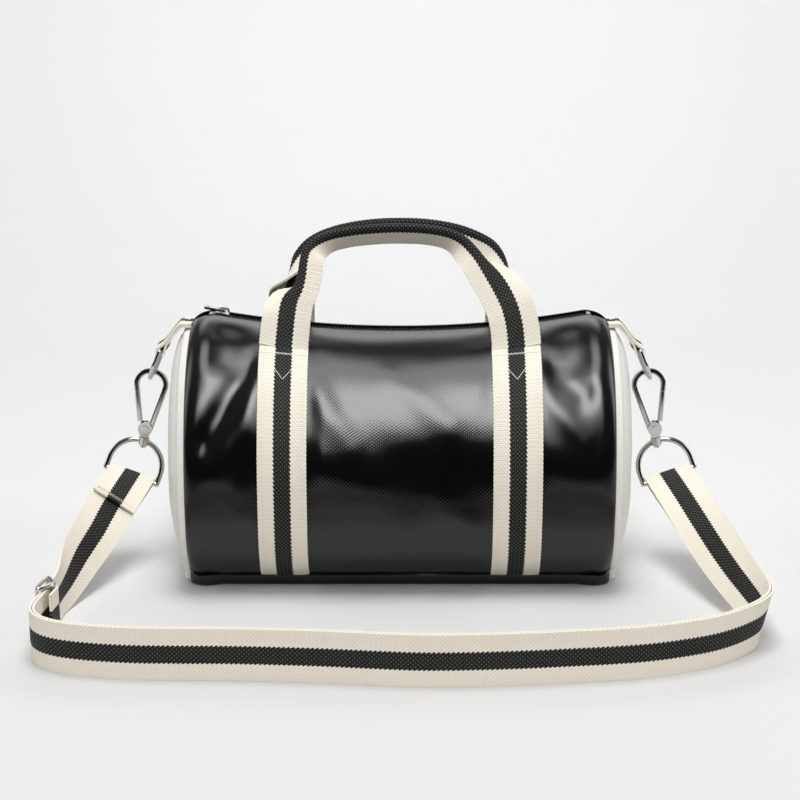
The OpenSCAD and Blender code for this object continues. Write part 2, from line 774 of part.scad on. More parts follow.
route = concat([[-bar_x, bar_y, bar_z, 180 - loop_tilt]], [for (s = route_shares) route_point(s)],
    [[bar_x, bar_y, bar_z, loop_tilt]]);
track_steps = 2;
track = curve(route, track_steps);
track_line = [for (p = track) [p[0], p[1], p[2]]];
last = len(track) - 1;
slider_at = (slider_row + 1) * track_steps;
layer_gap = web_t + 0.5;

function track_way(i) = heading(track_line, i);
function track_width(i) = let (w = [cos(track[i][3]), 0, sin(track[i][3])])
    i == 0 || i == last ? w : across(w, track_way(i));
function track_out(i) = unit(cross(track_way(i), track_width(i)));

// The webbing's section at station i, off outside the track, facing outwards or inwards
function web_section(i, off, side) =
    section(track_line[i] + track_out(i) * off, track_width(i), side * track_out(i), web_w, web_t);

// A half turn of webbing round a bar at c: it starts on the side of from and passes over the side of past
wrap_steps = 6;
function wrap(c, width, from, past, r, side) = [for (k = [0 : wrap_steps]) let (a = 180 * k / wrap_steps,
    radial = from * cos(a) + past * sin(a)) section(c + radial * r, width, side * radial, web_w, web_t)];

loop_wrap_r = loop_wire / 2 + fabric_gap + web_t / 2;
ease = 4;

// Offset of a layer that leaves a bar at off_a and settles at off_b some stations further
function settle(i, off_a, off_b) = let (u = min(1, i / ease)) off_a + (off_b - off_a) * u * u * (3 - 2 * u);

// Strap slider: bowed cast frame; the inner layer is sewn round its middle bar
slider_bar_r = 1.2;
rail_off = web_t / 2 + 2 * fabric_gap + slider_bar_r;
middle_off = web_t / 2 + 3 * fabric_gap + web_t + slider_bar_r;
slider_pitch = 9;
slider_plate_t = 2.4;
slider_side = web_w / 2 + 0.6 + slider_plate_t / 2;
slider_wrap_r = slider_bar_r + fabric_gap + web_t / 2;
slider_c = track_line[slider_at];
slider_way = track_way(slider_at);
slider_out = track_out(slider_at);
slider_width = track_width(slider_at);
slider_turn_z = atan2(slider_way[1], slider_way[0]);

module strap_slider() {
    color("#c4c7cb")
    translate([slider_c[0], slider_c[1], slider_c[2]])
    rotate([0, 0, slider_turn_z]) {
        for (s = [-1, 1]) translate([s * slider_pitch, -rail_off, 0]) rod(slider_bar_r, 2 * slider_side);
        translate([0, middle_off, 0]) rod(slider_bar_r, 2 * slider_side);
        for (s = [-1, 1]) translate([0, 0, s * slider_side - slider_plate_t / 2])
            linear_extrude(slider_plate_t)
            difference() {
                union() {
                    for (t = [-1, 1]) translate([t * slider_pitch, -rail_off]) circle(slider_bar_r * 1.35);
                    translate([0, middle_off]) circle(slider_bar_r * 1.35);
                    polygon([[-slider_pitch, -rail_off - slider_bar_r * 1.35],
                        [slider_pitch, -rail_off - slider_bar_r * 1.35],
                        [slider_pitch + slider_bar_r * 1.35, -rail_off], [slider_bar_r, middle_off + slider_bar_r],
                        [-slider_bar_r, middle_off + slider_bar_r], [-slider_pitch - slider_bar_r * 1.35, -rail_off]]);
                }
            }
    }
}

fold_rows = 5;
stub_shares = [0.7, 1.4];

module shoulder_webbing() {
    fold = [for (i = [fold_rows : -1 : 1]) web_section(i, -settle(i, loop_wrap_r, layer_gap), -1)];
    left_turn = wrap(track_line[0], track_width(0), -track_out(0), cross(track_out(0), track_width(0)),
        loop_wrap_r, 1);
    outer = [for (i = [1 : last - 1]) web_section(i, settle(min(i, last - i), loop_wrap_r, 0), 1)];
    right_turn = wrap(track_line[last], track_width(last), track_out(last),
        cross(track_width(last), track_out(last)), loop_wrap_r, 1);
    inner = [for (i = [last - 1 : -1 : slider_at + 1])
        web_section(i, -settle(last - i, loop_wrap_r, layer_gap), -1)];
    c = slider_c - slider_out * middle_off;
    slider_bend = wrap(c, slider_width, slider_out, -slider_way, slider_wrap_r, -1);
    stub = [for (t = stub_shares) section(c - slider_out * slider_wrap_r + slider_way * t * slider_pitch,
        slider_width, slider_out, web_w, web_t)];
    color("#e9dfc6") loft(concat(fold, left_turn, outer, right_turn, inner, slider_bend, stub));
}

front_panel();
rear_panel();
bottom_panel();
left_end_panel();
right_end_panel();
lining();
lining_ends();
base_board();
zip_tape_front();
zip_tape_rear();
zip_coil_front();
zip_coil_rear();
zip_stops();
zip_slider();
zip_pull();
front_strap_left();
front_strap_right();
rear_strap_left();
rear_strap_right();
front_handle();
rear_handle();
left_tab();
right_tab();
tab_rivets();
left_ring();
right_ring();
left_hook();
left_gate();
left_gate_rivet();
left_gate_spring();
right_hook();
right_gate();
right_gate_rivet();
right_gate_spring();
left_d_loop();
right_d_loop();
shoulder_webbing();
strap_slider();
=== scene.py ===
import bpy
import math
from mathutils import Matrix, Vector, noise


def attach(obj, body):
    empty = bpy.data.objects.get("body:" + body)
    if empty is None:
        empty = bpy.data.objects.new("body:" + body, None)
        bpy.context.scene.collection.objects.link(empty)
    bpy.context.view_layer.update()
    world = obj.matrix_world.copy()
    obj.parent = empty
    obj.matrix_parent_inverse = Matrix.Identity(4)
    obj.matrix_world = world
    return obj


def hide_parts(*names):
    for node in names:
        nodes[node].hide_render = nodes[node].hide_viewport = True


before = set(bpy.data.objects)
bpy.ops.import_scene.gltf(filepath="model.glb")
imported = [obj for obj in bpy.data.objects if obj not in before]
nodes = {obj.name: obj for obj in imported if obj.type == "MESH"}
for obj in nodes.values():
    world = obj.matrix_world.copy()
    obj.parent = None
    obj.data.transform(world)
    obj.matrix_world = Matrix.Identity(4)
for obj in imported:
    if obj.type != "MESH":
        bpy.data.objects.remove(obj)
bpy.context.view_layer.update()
MM = 0.001

# The photograph's view, in metres and degrees
CAMERA_PLACE = (0, -0.98576, 0.36727)
CAMERA_TILT = 75
FOCAL_LENGTH, SENSOR_WIDTH = 71.21, 36
NEAR_CLIP, FAR_CLIP = 0.05, 30

# Sizes of the bag in millimetres, with angles round its section in degrees, as in the part's source
BODY_L, BODY_D, BODY_H = 262.0, 160.0, 160.0
HALF_L, HALF_D = BODY_L / 2, BODY_D / 2
MID_Z, BELLY_Z = BODY_H / 2, BODY_H * 0.3625
TOP_H = BODY_H - BELLY_Z
BASE_DIP, LIP_HALF = BODY_H * 0.028, BODY_D * 0.376
TOP_POWER, BASE_POWER, LIP_POWER = 2.05, 2.8, 30.0
ZIP_ANGLE, STITCH_ANGLE, SEAM_ANGLE = 5.0, 24.75, 50.0
TOP_SAG, ZIP_HALF = 10.5, 118.0
SAG_R = (ZIP_HALF ** 2 + TOP_SAG ** 2) / (2 * TOP_SAG)
EDGE_DROP, EDGE_FRONT_SHARE = 7.0, 0.35
EDGE_RUN, EDGE_TOP_RUN = 6.0, 14.0
END_BOW = 0.013
COIL_W, COIL_H, COIL_PITCH = 2.6, 2.0, 2.0
WEB_W, WEB_T, STRIPE_W, RIB_PITCH = 30.0, 1.3, 10.3, 2.6
STRAP_PITCH = 140.0
FRONT_LEAN, REAR_LEAN = 20.0, 11.0
FABRIC_GAP, RUN_GAP, SLIDE_GAP = 0.3, 0.15, 0.35

# Sizes that only the scene has
SKIN_T, END_T, LINING_T, TAPE_T = 1.3, 1.2, 0.5, 0.8
FRONT_STRAP_X, REAR_STRAP_X = 72.0, 71.0
STRAP_START, STRAP_STOP = -2.5, 0.6
WELD = 2e-5


# Camera
def photo_camera():
    data = bpy.data.cameras.new("camera")
    data.lens = FOCAL_LENGTH
    data.sensor_width = SENSOR_WIDTH
    data.clip_start = NEAR_CLIP
    data.clip_end = FAR_CLIP
    camera = bpy.data.objects.new("camera", data)
    bpy.context.collection.objects.link(camera)
    camera.location = CAMERA_PLACE
    camera.rotation_euler = (math.radians(CAMERA_TILT), 0, 0)
    bpy.context.scene.camera = camera
    bpy.context.scene.view_settings.view_transform = "Standard"


photo_camera()


# Helpers for meshes
def deselect():
    if bpy.context.object and bpy.context.object.mode != "OBJECT":
        bpy.ops.object.mode_set(mode="OBJECT")
    bpy.ops.object.select_all(action="DESELECT")


def activate(obj):
    deselect()
    obj.select_set(True)
    bpy.context.view_layer.objects.active = obj


def edit_all(obj, *steps):
    """Run mesh operators on the whole of obj in edit mode, as (operator, settings)."""
    activate(obj)
    bpy.ops.object.mode_set(mode="EDIT")
    bpy.ops.mesh.select_all(action="SELECT")
    for operator, settings in steps:
        operator(**settings)
    bpy.ops.object.mode_set(mode="OBJECT")


def thicken(obj, thickness, offset=-1):
    """Give a sheet its thickness in millimetres, inwards or (with offset 0) to both sides."""
    activate(obj)
    modifier = obj.modifiers.new("solidify", "SOLIDIFY")
    modifier.thickness = thickness * MM
    modifier.offset = offset
    bpy.ops.object.modifier_apply(modifier=modifier.name)


def smooth(obj, angle=40):
    activate(obj)
    bpy.ops.object.shade_smooth_by_angle(angle=math.radians(angle))


def draped_grid(name, nu, nv, place, width=1.0, length=1.0, flip=False):
    """A flat grid whose points are moved to place(u, v), with a UV map in metres."""
    deselect()
    bpy.ops.mesh.primitive_grid_add(x_subdivisions=nu, y_subdivisions=nv, size=1)
    obj = bpy.context.object
    obj.name = name
    for corner in obj.data.uv_layers.active.data:
        corner.uv = (corner.uv.x * width, corner.uv.y * length)
    for v in obj.data.vertices:
        v.co = Vector(place(v.co.x + 0.5, v.co.y + 0.5)) * MM
    if flip:
        edit_all(obj, (bpy.ops.mesh.flip_normals, {}))
    return obj


def welded(obj, distance=1e-6):
    """Close a tube or a dome: merge its doubled points and turn its faces outwards."""
    edit_all(obj, (bpy.ops.mesh.remove_doubles, {"threshold": distance}),
             (bpy.ops.mesh.normals_make_consistent, {"inside": False}))
    return obj


def joined(name, objs):
    deselect()
    for o in objs:
        o.select_set(True)
    bpy.context.view_layer.objects.active = objs[0]
    if len(objs) > 1:
        bpy.ops.object.join()
    obj = bpy.context.object
    obj.name = name
    return obj


def tube(name, path, radius, sides):
    """A round rod or wire through the points of path, closed at both ends."""
    points = [Vector(p) for p in path]
    n = len(points) - 1
    frames = []
    side = None
    for i, p in enumerate(points):
        way = (points[min(i + 1, n)] - points[max(i - 1, 0)]).normalized()
        if side is None:
            side = way.orthogonal().normalized()
        side = (side - way * side.dot(way)).normalized()
        frames.append((p, side, way.cross(side)))
    rows = n + 3

    def place(u, v):
        k = int(round(v * (rows - 1)))
        p, a, b = frames[min(n, max(0, k - 1))]
        if k == 0 or k == rows - 1:
            return p
        t = 2 * math.pi * u
        return p + (a * math.cos(t) + b * math.sin(t)) * radius

    obj = draped_grid(name, sides, rows - 1, place)
    welded(obj)
    smooth(obj, 80)
    return obj


def finish_piece(obj, material, body, slot, *replaced):
    """Hand a piece over to the frame: its material, its body and what it stands for; slot is not used."""
    obj.data.materials.clear()
    obj.data.materials.append(material)
    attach(obj, body)
    if replaced:
        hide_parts(*replaced)
    return obj


# Surface of the body
def clamp(t):
    return min(1.0, max(0.0, t))


def ease(t):
    t = clamp(t)
    return t * t * (3 - 2 * t)


def sag_at(x):
    """How far the top seam hangs at x, on a circle through the zip's two ends."""
    return TOP_SAG - (SAG_R - math.sqrt(SAG_R ** 2 - min(abs(x), ZIP_HALF) ** 2))


def edge_at(x, s):
    """How far the skin turns in at the end seam, over a longer run on top than in front."""
    up = max(0.0, s) ** 1.5
    run = EDGE_RUN + (EDGE_TOP_RUN - EDGE_RUN) * up
    q = clamp((abs(x) - HALF_L + run) / run)
    share = EDGE_FRONT_SHARE + (1 - EDGE_FRONT_SHARE) * up
    return EDGE_DROP * share * (1 - math.sqrt(max(0.0, 1 - q * q)))


def polar_reach(c, s, ry, rz, power):
    """Distance from the middle of a superellipse to its edge, in the direction (c, s)."""
    return ((abs(c) / ry) ** power + (abs(s) / rz) ** power) ** (-1 / power)


# The zip's sag is whole on top and gone at the belly, by the sine of the angle
SAG_WHOLE, SAG_GONE = 1.0, 0.05


def section_point(x, angle, lift):
    """A point of the plain barrel at x and angle, with 90 on top, 180 in front, 270 below."""
    a = math.radians(angle)
    c, s = math.cos(a), math.sin(a)
    drop = edge_at(x, s)
    ry = HALF_D - drop + lift
    xx = x * (1 - END_BOW * abs(c))
    if s >= 0:
        y = ry * math.copysign(abs(c) ** (2 / TOP_POWER), c)
        share = ease((s - SAG_GONE) / (SAG_WHOLE - SAG_GONE))
        z = BELLY_Z + (TOP_H - drop + lift) * s ** (2 / TOP_POWER) - sag_at(x) * share
        return Vector((xx, y, z))
    if abs(angle - 270) > SEAM_ANGLE + 0.01:
        r = polar_reach(c, s, ry, BELLY_Z + BASE_DIP - drop + lift, BASE_POWER)
    else:
        r = polar_reach(c, s, LIP_HALF - drop + lift, BELLY_Z + lift, LIP_POWER)
    return Vector((xx, r * c, max(BELLY_Z + r * s, -lift)))


# Folds of the coated fabric: from (x, angle) to (x, angle), half width, height, in mm and degrees
FRONT_FOLDS = [
    (-86, 121, -118, 158, 8, -2.2),
    (-86, 136, -112, 170, 10, 1.5),
    (-104, 150, -92, 176, 9, -0.7),
    (-104, 168, -86, 190, 11, 0.7),
    (-52, 120, -34, 140, 8, -0.5),
    (-54, 138, -30, 158, 9, 0.8),
    (-48, 166, -20, 172, 13, 1.6),
    (-6, 128, 30, 150, 9, 0.8),
    (10, 166, 46, 172, 12, -0.6),
    (86, 122, 112, 140, 8, -1.6),
    (86, 138, 112, 158, 6, 0.7),
    (90, 165, 118, 169, 12, 1.5),
    (20, 176, 50, 192, 9, 0.7),
]
REAR_FOLDS = [
    (84, 122, 108, 150, 6, -2.0),
    (-86, 124, -110, 148, 7, -1.6),
    (-40, 128, -20, 160, 9, 1.2),
    (20, 140, 60, 158, 8, -1.2),
]


MM_PER_DEGREE = 1.4
RIM_DIP, DIP_FROM, DIP_RUN = 2.6, 86.0, 42.0
WAVE_HEIGHT, FINE_SHARE = 1.1, 0.3
CALM_SHARE, CALM_RUN = 0.25, 12.0


def relief(x, angle, side):
    """Soft folds of the fabric off the plain barrel, calmer under the sewn straps."""
    r = 0.0
    for x0, a0, x1, a1, width, height in (FRONT_FOLDS if side < 0 else REAR_FOLDS):
        dx, dy = x1 - x0, (a1 - a0) * MM_PER_DEGREE
        px, py = x - x0, (angle - a0) * MM_PER_DEGREE
        t = clamp((px * dx + py * dy) / (dx * dx + dy * dy))
        d = math.hypot(px - dx * t, py - dy * t)
        if d < 3 * width:
            r += height * math.exp(-(d / width) ** 2)
    # the stiff rim holds the top up at each end, so the cloth dips before it
    q = clamp((abs(x) - DIP_FROM) / DIP_RUN)
    r -= RIM_DIP * (1 - math.cos(2 * math.pi * q)) / 2 * ease((135 - angle) / 10)
    wave = noise.noise(Vector((x / 60, angle / 36, 3.7 * side)))
    wave += FINE_SHARE * noise.noise(Vector((x / 25 + 9, angle / 16, 5.1 * side)))
    r += WAVE_HEIGHT * wave
    away = ease((abs(abs(x) - STRAP_PITCH / 2) - WEB_W / 2 + 3) / CALM_RUN)
    r *= CALM_SHARE + (1 - CALM_SHARE) * away
    return r * clamp((HALF_L - abs(x)) / 10) * ease((angle - 97) / 16) * ease((218 - angle) / 14)


def outward_at(x, angle):
    """The outward direction of the plain barrel, from its points a small step away."""
    step = 0.6
    across = section_point(x, angle + step, 0) - section_point(x, angle - step, 0)
    along_x = section_point(min(HALF_L, x + step), angle, 0) - section_point(max(-HALF_L, x - step), angle, 0)
    n = along_x.cross(across).normalized()
    return n if n.dot(section_point(x, angle, 0) - Vector((x, 0, MID_Z))) > 0 else -n


def body_point(x, angle, lift=0.0, side=-1):
    """A point of the folded skin, on the front or mirrored to the rear."""
    p = section_point(x, angle, lift) + outward_at(x, angle) * relief(x, angle, side)
    if side > 0:
        p.y = -p.y
    return p


STATION_POWER = 1.25


def eased_x(u):
    """Stations along the barrel, closer together towards its ends."""
    t = 2 * u - 1
    return HALF_L * math.copysign(1 - (1 - abs(t)) ** STATION_POWER, t)


CORNER_RISE, CORNER_RUN = 8, 9
MID_RISE, MID_TO, MID_RUN = 1.6, 84, 36


def seam_rise(x):
    """How many degrees the base seam climbs: most round each corner, and a little in the middle."""
    q = clamp((abs(x) - HALF_L + CORNER_RUN) / CORNER_RUN)
    corner = CORNER_RISE * (1 - math.sqrt(1 - q * q))
    return corner + MID_RISE * (1 - ease((abs(x) - MID_TO) / MID_RUN))


# Materials
def new_material(name):
    """A material with its node tree and its Principled shader."""
    material = bpy.data.materials.new(name)
    material.use_nodes = True
    tree = material.node_tree
    return material, tree, tree.nodes["Principled BSDF"]


def make(tree, kind, settings=(), **inputs):
    """A node of a kind, with its settings and the values of its inputs."""
    n = tree.nodes.new(kind)
    for key, value in dict(settings).items():
        setattr(n, key, value)
    for key, value in inputs.items():
        n.inputs[key.replace("_", " ")].default_value = value
    return n


def feed(shader, **values):
    """Set a shader's inputs; each value is a socket, a colour or a number."""
    for key, value in values.items():
        socket = shader.inputs[key.replace("_", " ")]
        if isinstance(value, bpy.types.NodeSocket):
            shader.id_data.links.new(value, socket)
        else:
            socket.default_value = (*value, 1) if isinstance(value, tuple) else value


def maths(tree, operation, a, b=None, c=None):
    """A Math node; each of a, b and c is a socket or a number."""
    n = make(tree, "ShaderNodeMath", {"operation": operation})
    for socket, value in zip(n.inputs, (a, b, c)):
        if value is None:
            continue
        if isinstance(value, (int, float)):
            socket.default_value = value
        else:
            tree.links.new(value, socket)
    return n.outputs[0]


def mixed(tree, factor, a, b):
    """A colour mix; each of a and b is a socket or a colour."""
    n = make(tree, "ShaderNodeMix", {"data_type": "RGBA"})
    tree.links.new(factor, n.inputs["Factor"])
    for key, value in (("A", a), ("B", b)):
        socket = [s for s in n.inputs if s.name == key and s.type == "RGBA"][0]
        if isinstance(value, tuple):
            socket.default_value = (*value, 1)
        else:
            tree.links.new(value, socket)
    return [s for s in n.outputs if s.type == "RGBA"][0]


def spread(tree, value, from_min, from_max, to_min, to_max):
    """A value of one range as a value of another, held inside it."""
    n = make(tree, "ShaderNodeMapRange",
             From_Min=from_min, From_Max=from_max, To_Min=to_min, To_Max=to_max)
    tree.links.new(value, n.inputs["Value"])
    return n.outputs["Result"]


def noise_at(tree, scale, detail=3.0):
    """Noise in the object's own coordinates."""
    coords = make(tree, "ShaderNodeTexCoord")
    n = make(tree, "ShaderNodeTexNoise", Scale=scale, Detail=detail)
    tree.links.new(coords.outputs["Object"], n.inputs["Vector"])
    return n.outputs["Fac"]


def uv_parts(tree):
    """The two sockets of the piece's own UV map, which is in metres."""
    uv = make(tree, "ShaderNodeUVMap")
    sep = make(tree, "ShaderNodeSeparateXYZ")
    tree.links.new(uv.outputs["UV"], sep.inputs["Vector"])
    return sep.outputs["X"], sep.outputs["Y"]


def wave(tree, source, pitch, phase=0.0):
    """A sine along source, with its pitch in millimetres."""
    return maths(tree, "SINE", maths(tree, "MULTIPLY_ADD", source, 2 * math.pi / (pitch * MM), phase))


def bumped(tree, shader, height, strength, distance):
    """A bump of the shader's surface, with its distance in millimetres."""
    n = make(tree, "ShaderNodeBump", Strength=strength, Distance=distance * MM)
    feed(n, Height=height)
    feed(shader, Normal=n.outputs["Normal"])


def coated_cloth(name, colour, light, pitch, strength, roughness, specular):
    """Cloth under a glossy coat; its plain weave shows through as a fine grid of dots."""
    material, tree, shader = new_material(name)
    u, v = uv_parts(tree)
    weave = maths(tree, "MULTIPLY", wave(tree, u, pitch), wave(tree, v, pitch))
    grain = noise_at(tree, scale=500.0)
    height = maths(tree, "MULTIPLY_ADD", grain, 0.4, weave)
    bumped(tree, shader, height, strength, distance=0.036)
    wear = noise_at(tree, scale=24.0, detail=5.0)
    rough = spread(tree, wear, 0.3, 0.7, roughness - 0.02, roughness + 0.03)
    feed(shader, Roughness=rough, Base_Color=mixed(tree, wear, colour, light), Specular_IOR_Level=specular)
    return material


# The webbing's colours: cream painted darker in the weave's hollows and paler on its crests (painted shade
# and light), cream soiled, and the stripe with its pale knots
CREAM_HOLLOW_SHADE, CREAM_CREST_LIGHT, CREAM_SOILED = (0.78, 0.725, 0.615), (0.93, 0.87, 0.755), (0.82, 0.755, 0.63)
STRIPE_BLACK, STRIPE_KNOT = (0.006, 0.006, 0.006), (0.19, 0.185, 0.17)
WARP_PITCH = 2.5


def striped_webbing(name):
    """Ribbed cream webbing with a black middle stripe; the UV map is in metres, U across it."""
    material, tree, shader = new_material(name)
    u, v = uv_parts(tree)
    off = maths(tree, "ABSOLUTE", maths(tree, "SUBTRACT", u, WEB_W * MM / 2))
    ribs = wave(tree, v, RIB_PITCH, math.pi / 2)
    brick = maths(tree, "MULTIPLY", wave(tree, v, RIB_PITCH), wave(tree, u, WARP_PITCH))
    weft = wave(tree, v, RIB_PITCH / 2)
    fibre = noise_at(tree, scale=900.0, detail=2.0)
    soil = noise_at(tree, scale=28.0, detail=4.0)
    # painted shade and light: the cream is darker in the hollows of the ribs and paler on their crests,
    # following the bump's relief
    rib_light_and_shade = maths(tree, "MULTIPLY_ADD", brick, 0.6, maths(tree, "MULTIPLY", weft, 0.4))
    cream = mixed(tree, spread(tree, rib_light_and_shade, -0.8, 0.8, 0.0, 1.0), CREAM_HOLLOW_SHADE, CREAM_CREST_LIGHT)
    cream = mixed(tree, spread(tree, soil, 0.35, 0.75, 0.0, 0.3), cream, CREAM_SOILED)
    # the stripe's edge follows the ribs
    edge = maths(tree, "MULTIPLY_ADD", ribs, 0.35 * MM, off)
    inside = maths(tree, "LESS_THAN", edge, STRIPE_W * MM / 2)
    black = mixed(tree, spread(tree, brick, 0.6, 0.95, 0.0, 1.0), STRIPE_BLACK, STRIPE_KNOT)
    relief_height = maths(tree, "MULTIPLY_ADD", brick, 0.5, maths(tree, "MULTIPLY", weft, 0.6))
    height = maths(tree, "MULTIPLY_ADD", fibre, 0.3, relief_height)
    bumped(tree, shader, height, strength=0.6, distance=0.13)
    feed(shader, Base_Color=mixed(tree, inside, cream, black), Roughness=0.65, Specular_IOR_Level=0.3)
    return material


def plated_metal(name, colour, roughness):
    """Bright metal with slight smudges in its polish."""
    material, tree, shader = new_material(name)
    smudge = noise_at(tree, scale=60.0, detail=4.0)
    rough = spread(tree, smudge, 0.3, 0.7, roughness * 0.6, roughness * 1.5)
    feed(shader, Roughness=rough, Base_Color=colour, Metallic=1)
    return material


def plain_cloth(name, colour, light, scale, roughness=0.75):
    """Fibres of two near colours, for thread, tape, lining, welt and board."""
    material, tree, shader = new_material(name)
    fibre = noise_at(tree, scale)
    bumped(tree, shader, fibre, strength=0.4, distance=0.2)
    feed(shader, Base_Color=mixed(tree, fibre, colour, light), Roughness=roughness)
    return material


WEAVE_PITCH = 2.2
BLACK = coated_cloth("black_coated_canvas", (0.003, 0.003, 0.0033), (0.0042, 0.0042, 0.0046),
                     WEAVE_PITCH, strength=0.8, roughness=0.13, specular=0.55)
WHITE = coated_cloth("white_coated_canvas", (0.79, 0.775, 0.735), (0.84, 0.83, 0.79),
                     WEAVE_PITCH, strength=0.9, roughness=0.45, specular=0.3)
WEBBING = striped_webbing("striped_webbing")
NICKEL = plated_metal("polished_nickel", (0.6, 0.585, 0.565), roughness=0.1)
ZIP_METAL = plated_metal("bright_nickel", (0.85, 0.83, 0.8), roughness=0.2)
SPRING = plated_metal("spring_steel", (0.5, 0.5, 0.5), roughness=0.3)
LINING = plain_cloth("lining_cloth", (0.03, 0.03, 0.034), (0.05, 0.05, 0.055), scale=1500.0)
TAPE = plain_cloth("zip_tape_cloth", (0.006, 0.006, 0.006), (0.012, 0.012, 0.012), scale=1400.0)
COIL = plain_cloth("zip_coil_plastic", (0.008, 0.008, 0.008), (0.012, 0.012, 0.012), scale=300.0,
                   roughness=0.35)
WELT = plain_cloth("black_welt", (0.006, 0.006, 0.006), (0.012, 0.012, 0.012), scale=900.0,
                   roughness=0.5)
BOARD = plain_cloth("base_board_fibre", (0.25, 0.22, 0.18), (0.3, 0.27, 0.22), scale=500.0)
THREAD = plain_cloth("cream_thread", (0.80, 0.76, 0.66), (0.92, 0.89, 0.80), scale=2000.0)
TAN_THREAD = plain_cloth("tan_thread", (0.55, 0.43, 0.29), (0.66, 0.54, 0.38), scale=2000.0)


# Body panels
HEM_FROM, HEM_STEP = 0.975, 0.6


def side_panel(name, side):
    """The front or rear skin from the zip to the base seam, whose last stretch is turned over as a hem."""
    a0 = 90 + ZIP_ANGLE

    def place(u, v):
        x = eased_x(u)
        a1 = 270 - SEAM_ANGLE - seam_rise(x)
        p = body_point(x, a0 + (a1 - a0) * v, 0.0, side)
        p.y -= side * HEM_STEP * ease((v - HEM_FROM) / (1 - HEM_FROM))
        return p

    obj = draped_grid(name, 190, 130, place, BODY_L * MM, 0.222, flip=side > 0)
    thicken(obj, SKIN_T)
    smooth(obj, 50)
    return obj


# Angles off the bottom for the base's points, closer together up its standing lip
LIP_ANGLES = [50, 49.4, 48.9, 48.4, 47.8, 47.2, 46.6, 46.05, 45.5, 44.9, 44.2, 43.5, 42, 40, 36, 28, 14, 0]
LIP_FOOT = 45
CORNER_OUT, CORNER_X, CORNER_HALF, LIP_IN = 3.6, 122, 9, 0.5


def base_panel():
    """The base sheet with its standing lip, whose corners bulge out at the ends."""
    angles = [270 - a for a in LIP_ANGLES] + [270 + a for a in LIP_ANGLES[-2::-1]]

    def place(u, v):
        x = eased_x(u)
        k = int(round(v * (len(angles) - 1)))
        a = angles[k]
        if abs(a - 270) > LIP_FOOT:
            lift = seam_rise(x) * (abs(a - 270) - LIP_FOOT) / (SEAM_ANGLE - LIP_FOOT)
            a += math.copysign(lift, a - 270)
        p = section_point(x, a, 0.0)
        low = ease((18 - p.z) / 10) * ease((abs(p.y) - 40) / 14)
        corner = CORNER_OUT * math.exp(-((abs(x) - CORNER_X) / CORNER_HALF) ** 2)
        p.y += math.copysign(low * (corner - LIP_IN), p.y)
        p.z = max(0.0, p.z + 0.5 * noise.noise(Vector((x / 30, a / 9, 1.3))) * ease(p.z / 4))
        return p

    obj = draped_grid("base_panel", 120, len(angles) - 1, place, BODY_L * MM, 0.14)
    thicken(obj, SKIN_T)
    smooth(obj, 60)
    return obj


# How far the end panel stands out past the end seam at each share of its radius:
# the rolled rim, the crease inside it, then the dome
DOME_ROWS = [(1.0, -0.4), (0.998, 1.2), (0.994, 2.6), (0.987, 3.9), (0.976, 4.9), (0.964, 5.4), (0.954, 5.35),
             (0.944, 5.5), (0.925, 6.7), (0.9, 8.0), (0.86, 9.6), (0.8, 11.3), (0.72, 12.8), (0.62, 14.0),
             (0.5, 14.9), (0.36, 15.4), (0.2, 15.7), (0.08, 15.8), (0.0, 15.8)]
LOW_SLACK, PUFF_HEIGHT, CRIMP_HEIGHT, CRIMP_COUNT = 0.28, 0.55, 0.16, 88


def end_panel(name, sx):
    """A white end: rim and dome, slacker low down, with the rim's small crimps and soft puffs."""
    rows = len(DOME_ROWS) - 1
    steps = 180

    def place(u, v):
        share, out = DOME_ROWS[int(round(v * rows))]
        angle = 90 + 360 * round(u * steps) / steps
        p = section_point(HALF_L, angle, 0.0)
        inner = 1 - share
        low = ease((60 - (MID_Z + (p.z - MID_Z) * share)) / 60) * ease(inner / 0.06)
        puff = noise.noise(Vector((p.y * share / 26, p.z * share / 26, 2.2 * sx))) * ease(inner / 0.15)
        crimp = math.sin(math.radians(angle) * CRIMP_COUNT) * math.exp(-((share - 0.985) / 0.012) ** 2)
        x = abs(p.x) + 0.5 + out * (1 - LOW_SLACK * low) + PUFF_HEIGHT * puff + CRIMP_HEIGHT * crimp
        return Vector((sx * x, p.y * share, MID_Z + (p.z - MID_Z) * share))

    obj = draped_grid(name, steps, rows, place, 0.5, 0.09)
    uv = obj.data.uv_layers.active.data
    for loop in obj.data.loops:
        co = obj.data.vertices[loop.vertex_index].co
        uv[loop.index].uv = (co.y, co.z + abs(co.x))
    welded(obj, WELD)
    thicken(obj, END_T)
    smooth(obj, 60)
    return obj


WELT_HALF_W, WELT_HALF_H, WELT_TICK = 0.85, 0.75, 0.28


def welt(name, sx):
    """Black edge of the end seam, with the ticks of its stitches."""
    path = []
    steps = 720
    side_way = Vector((sx, 0, 0))
    for i in range(steps):
        angle = 90 + 360 * i / steps
        p = section_point(HALF_L, angle, -0.2)
        tick = WELT_TICK if i % 4 < 2 else 0
        out = outward_at(HALF_L - 1, angle)
        middle = Vector((sx * (abs(p.x) + 0.3), p.y, max(p.z, 0.7)))
        path.append((middle, Vector((0, out.y, out.z)), tick))

    def place(u, v):
        middle, out, tick = path[int(round(v * steps)) % steps]
        t = 2 * math.pi * u
        return middle + side_way * math.cos(t) * WELT_HALF_W + out * math.sin(t) * (WELT_HALF_H + tick)

    obj = draped_grid(name, 8, steps, place, 0.006, 0.5)
    welded(obj)
    smooth(obj, 80)
    return obj


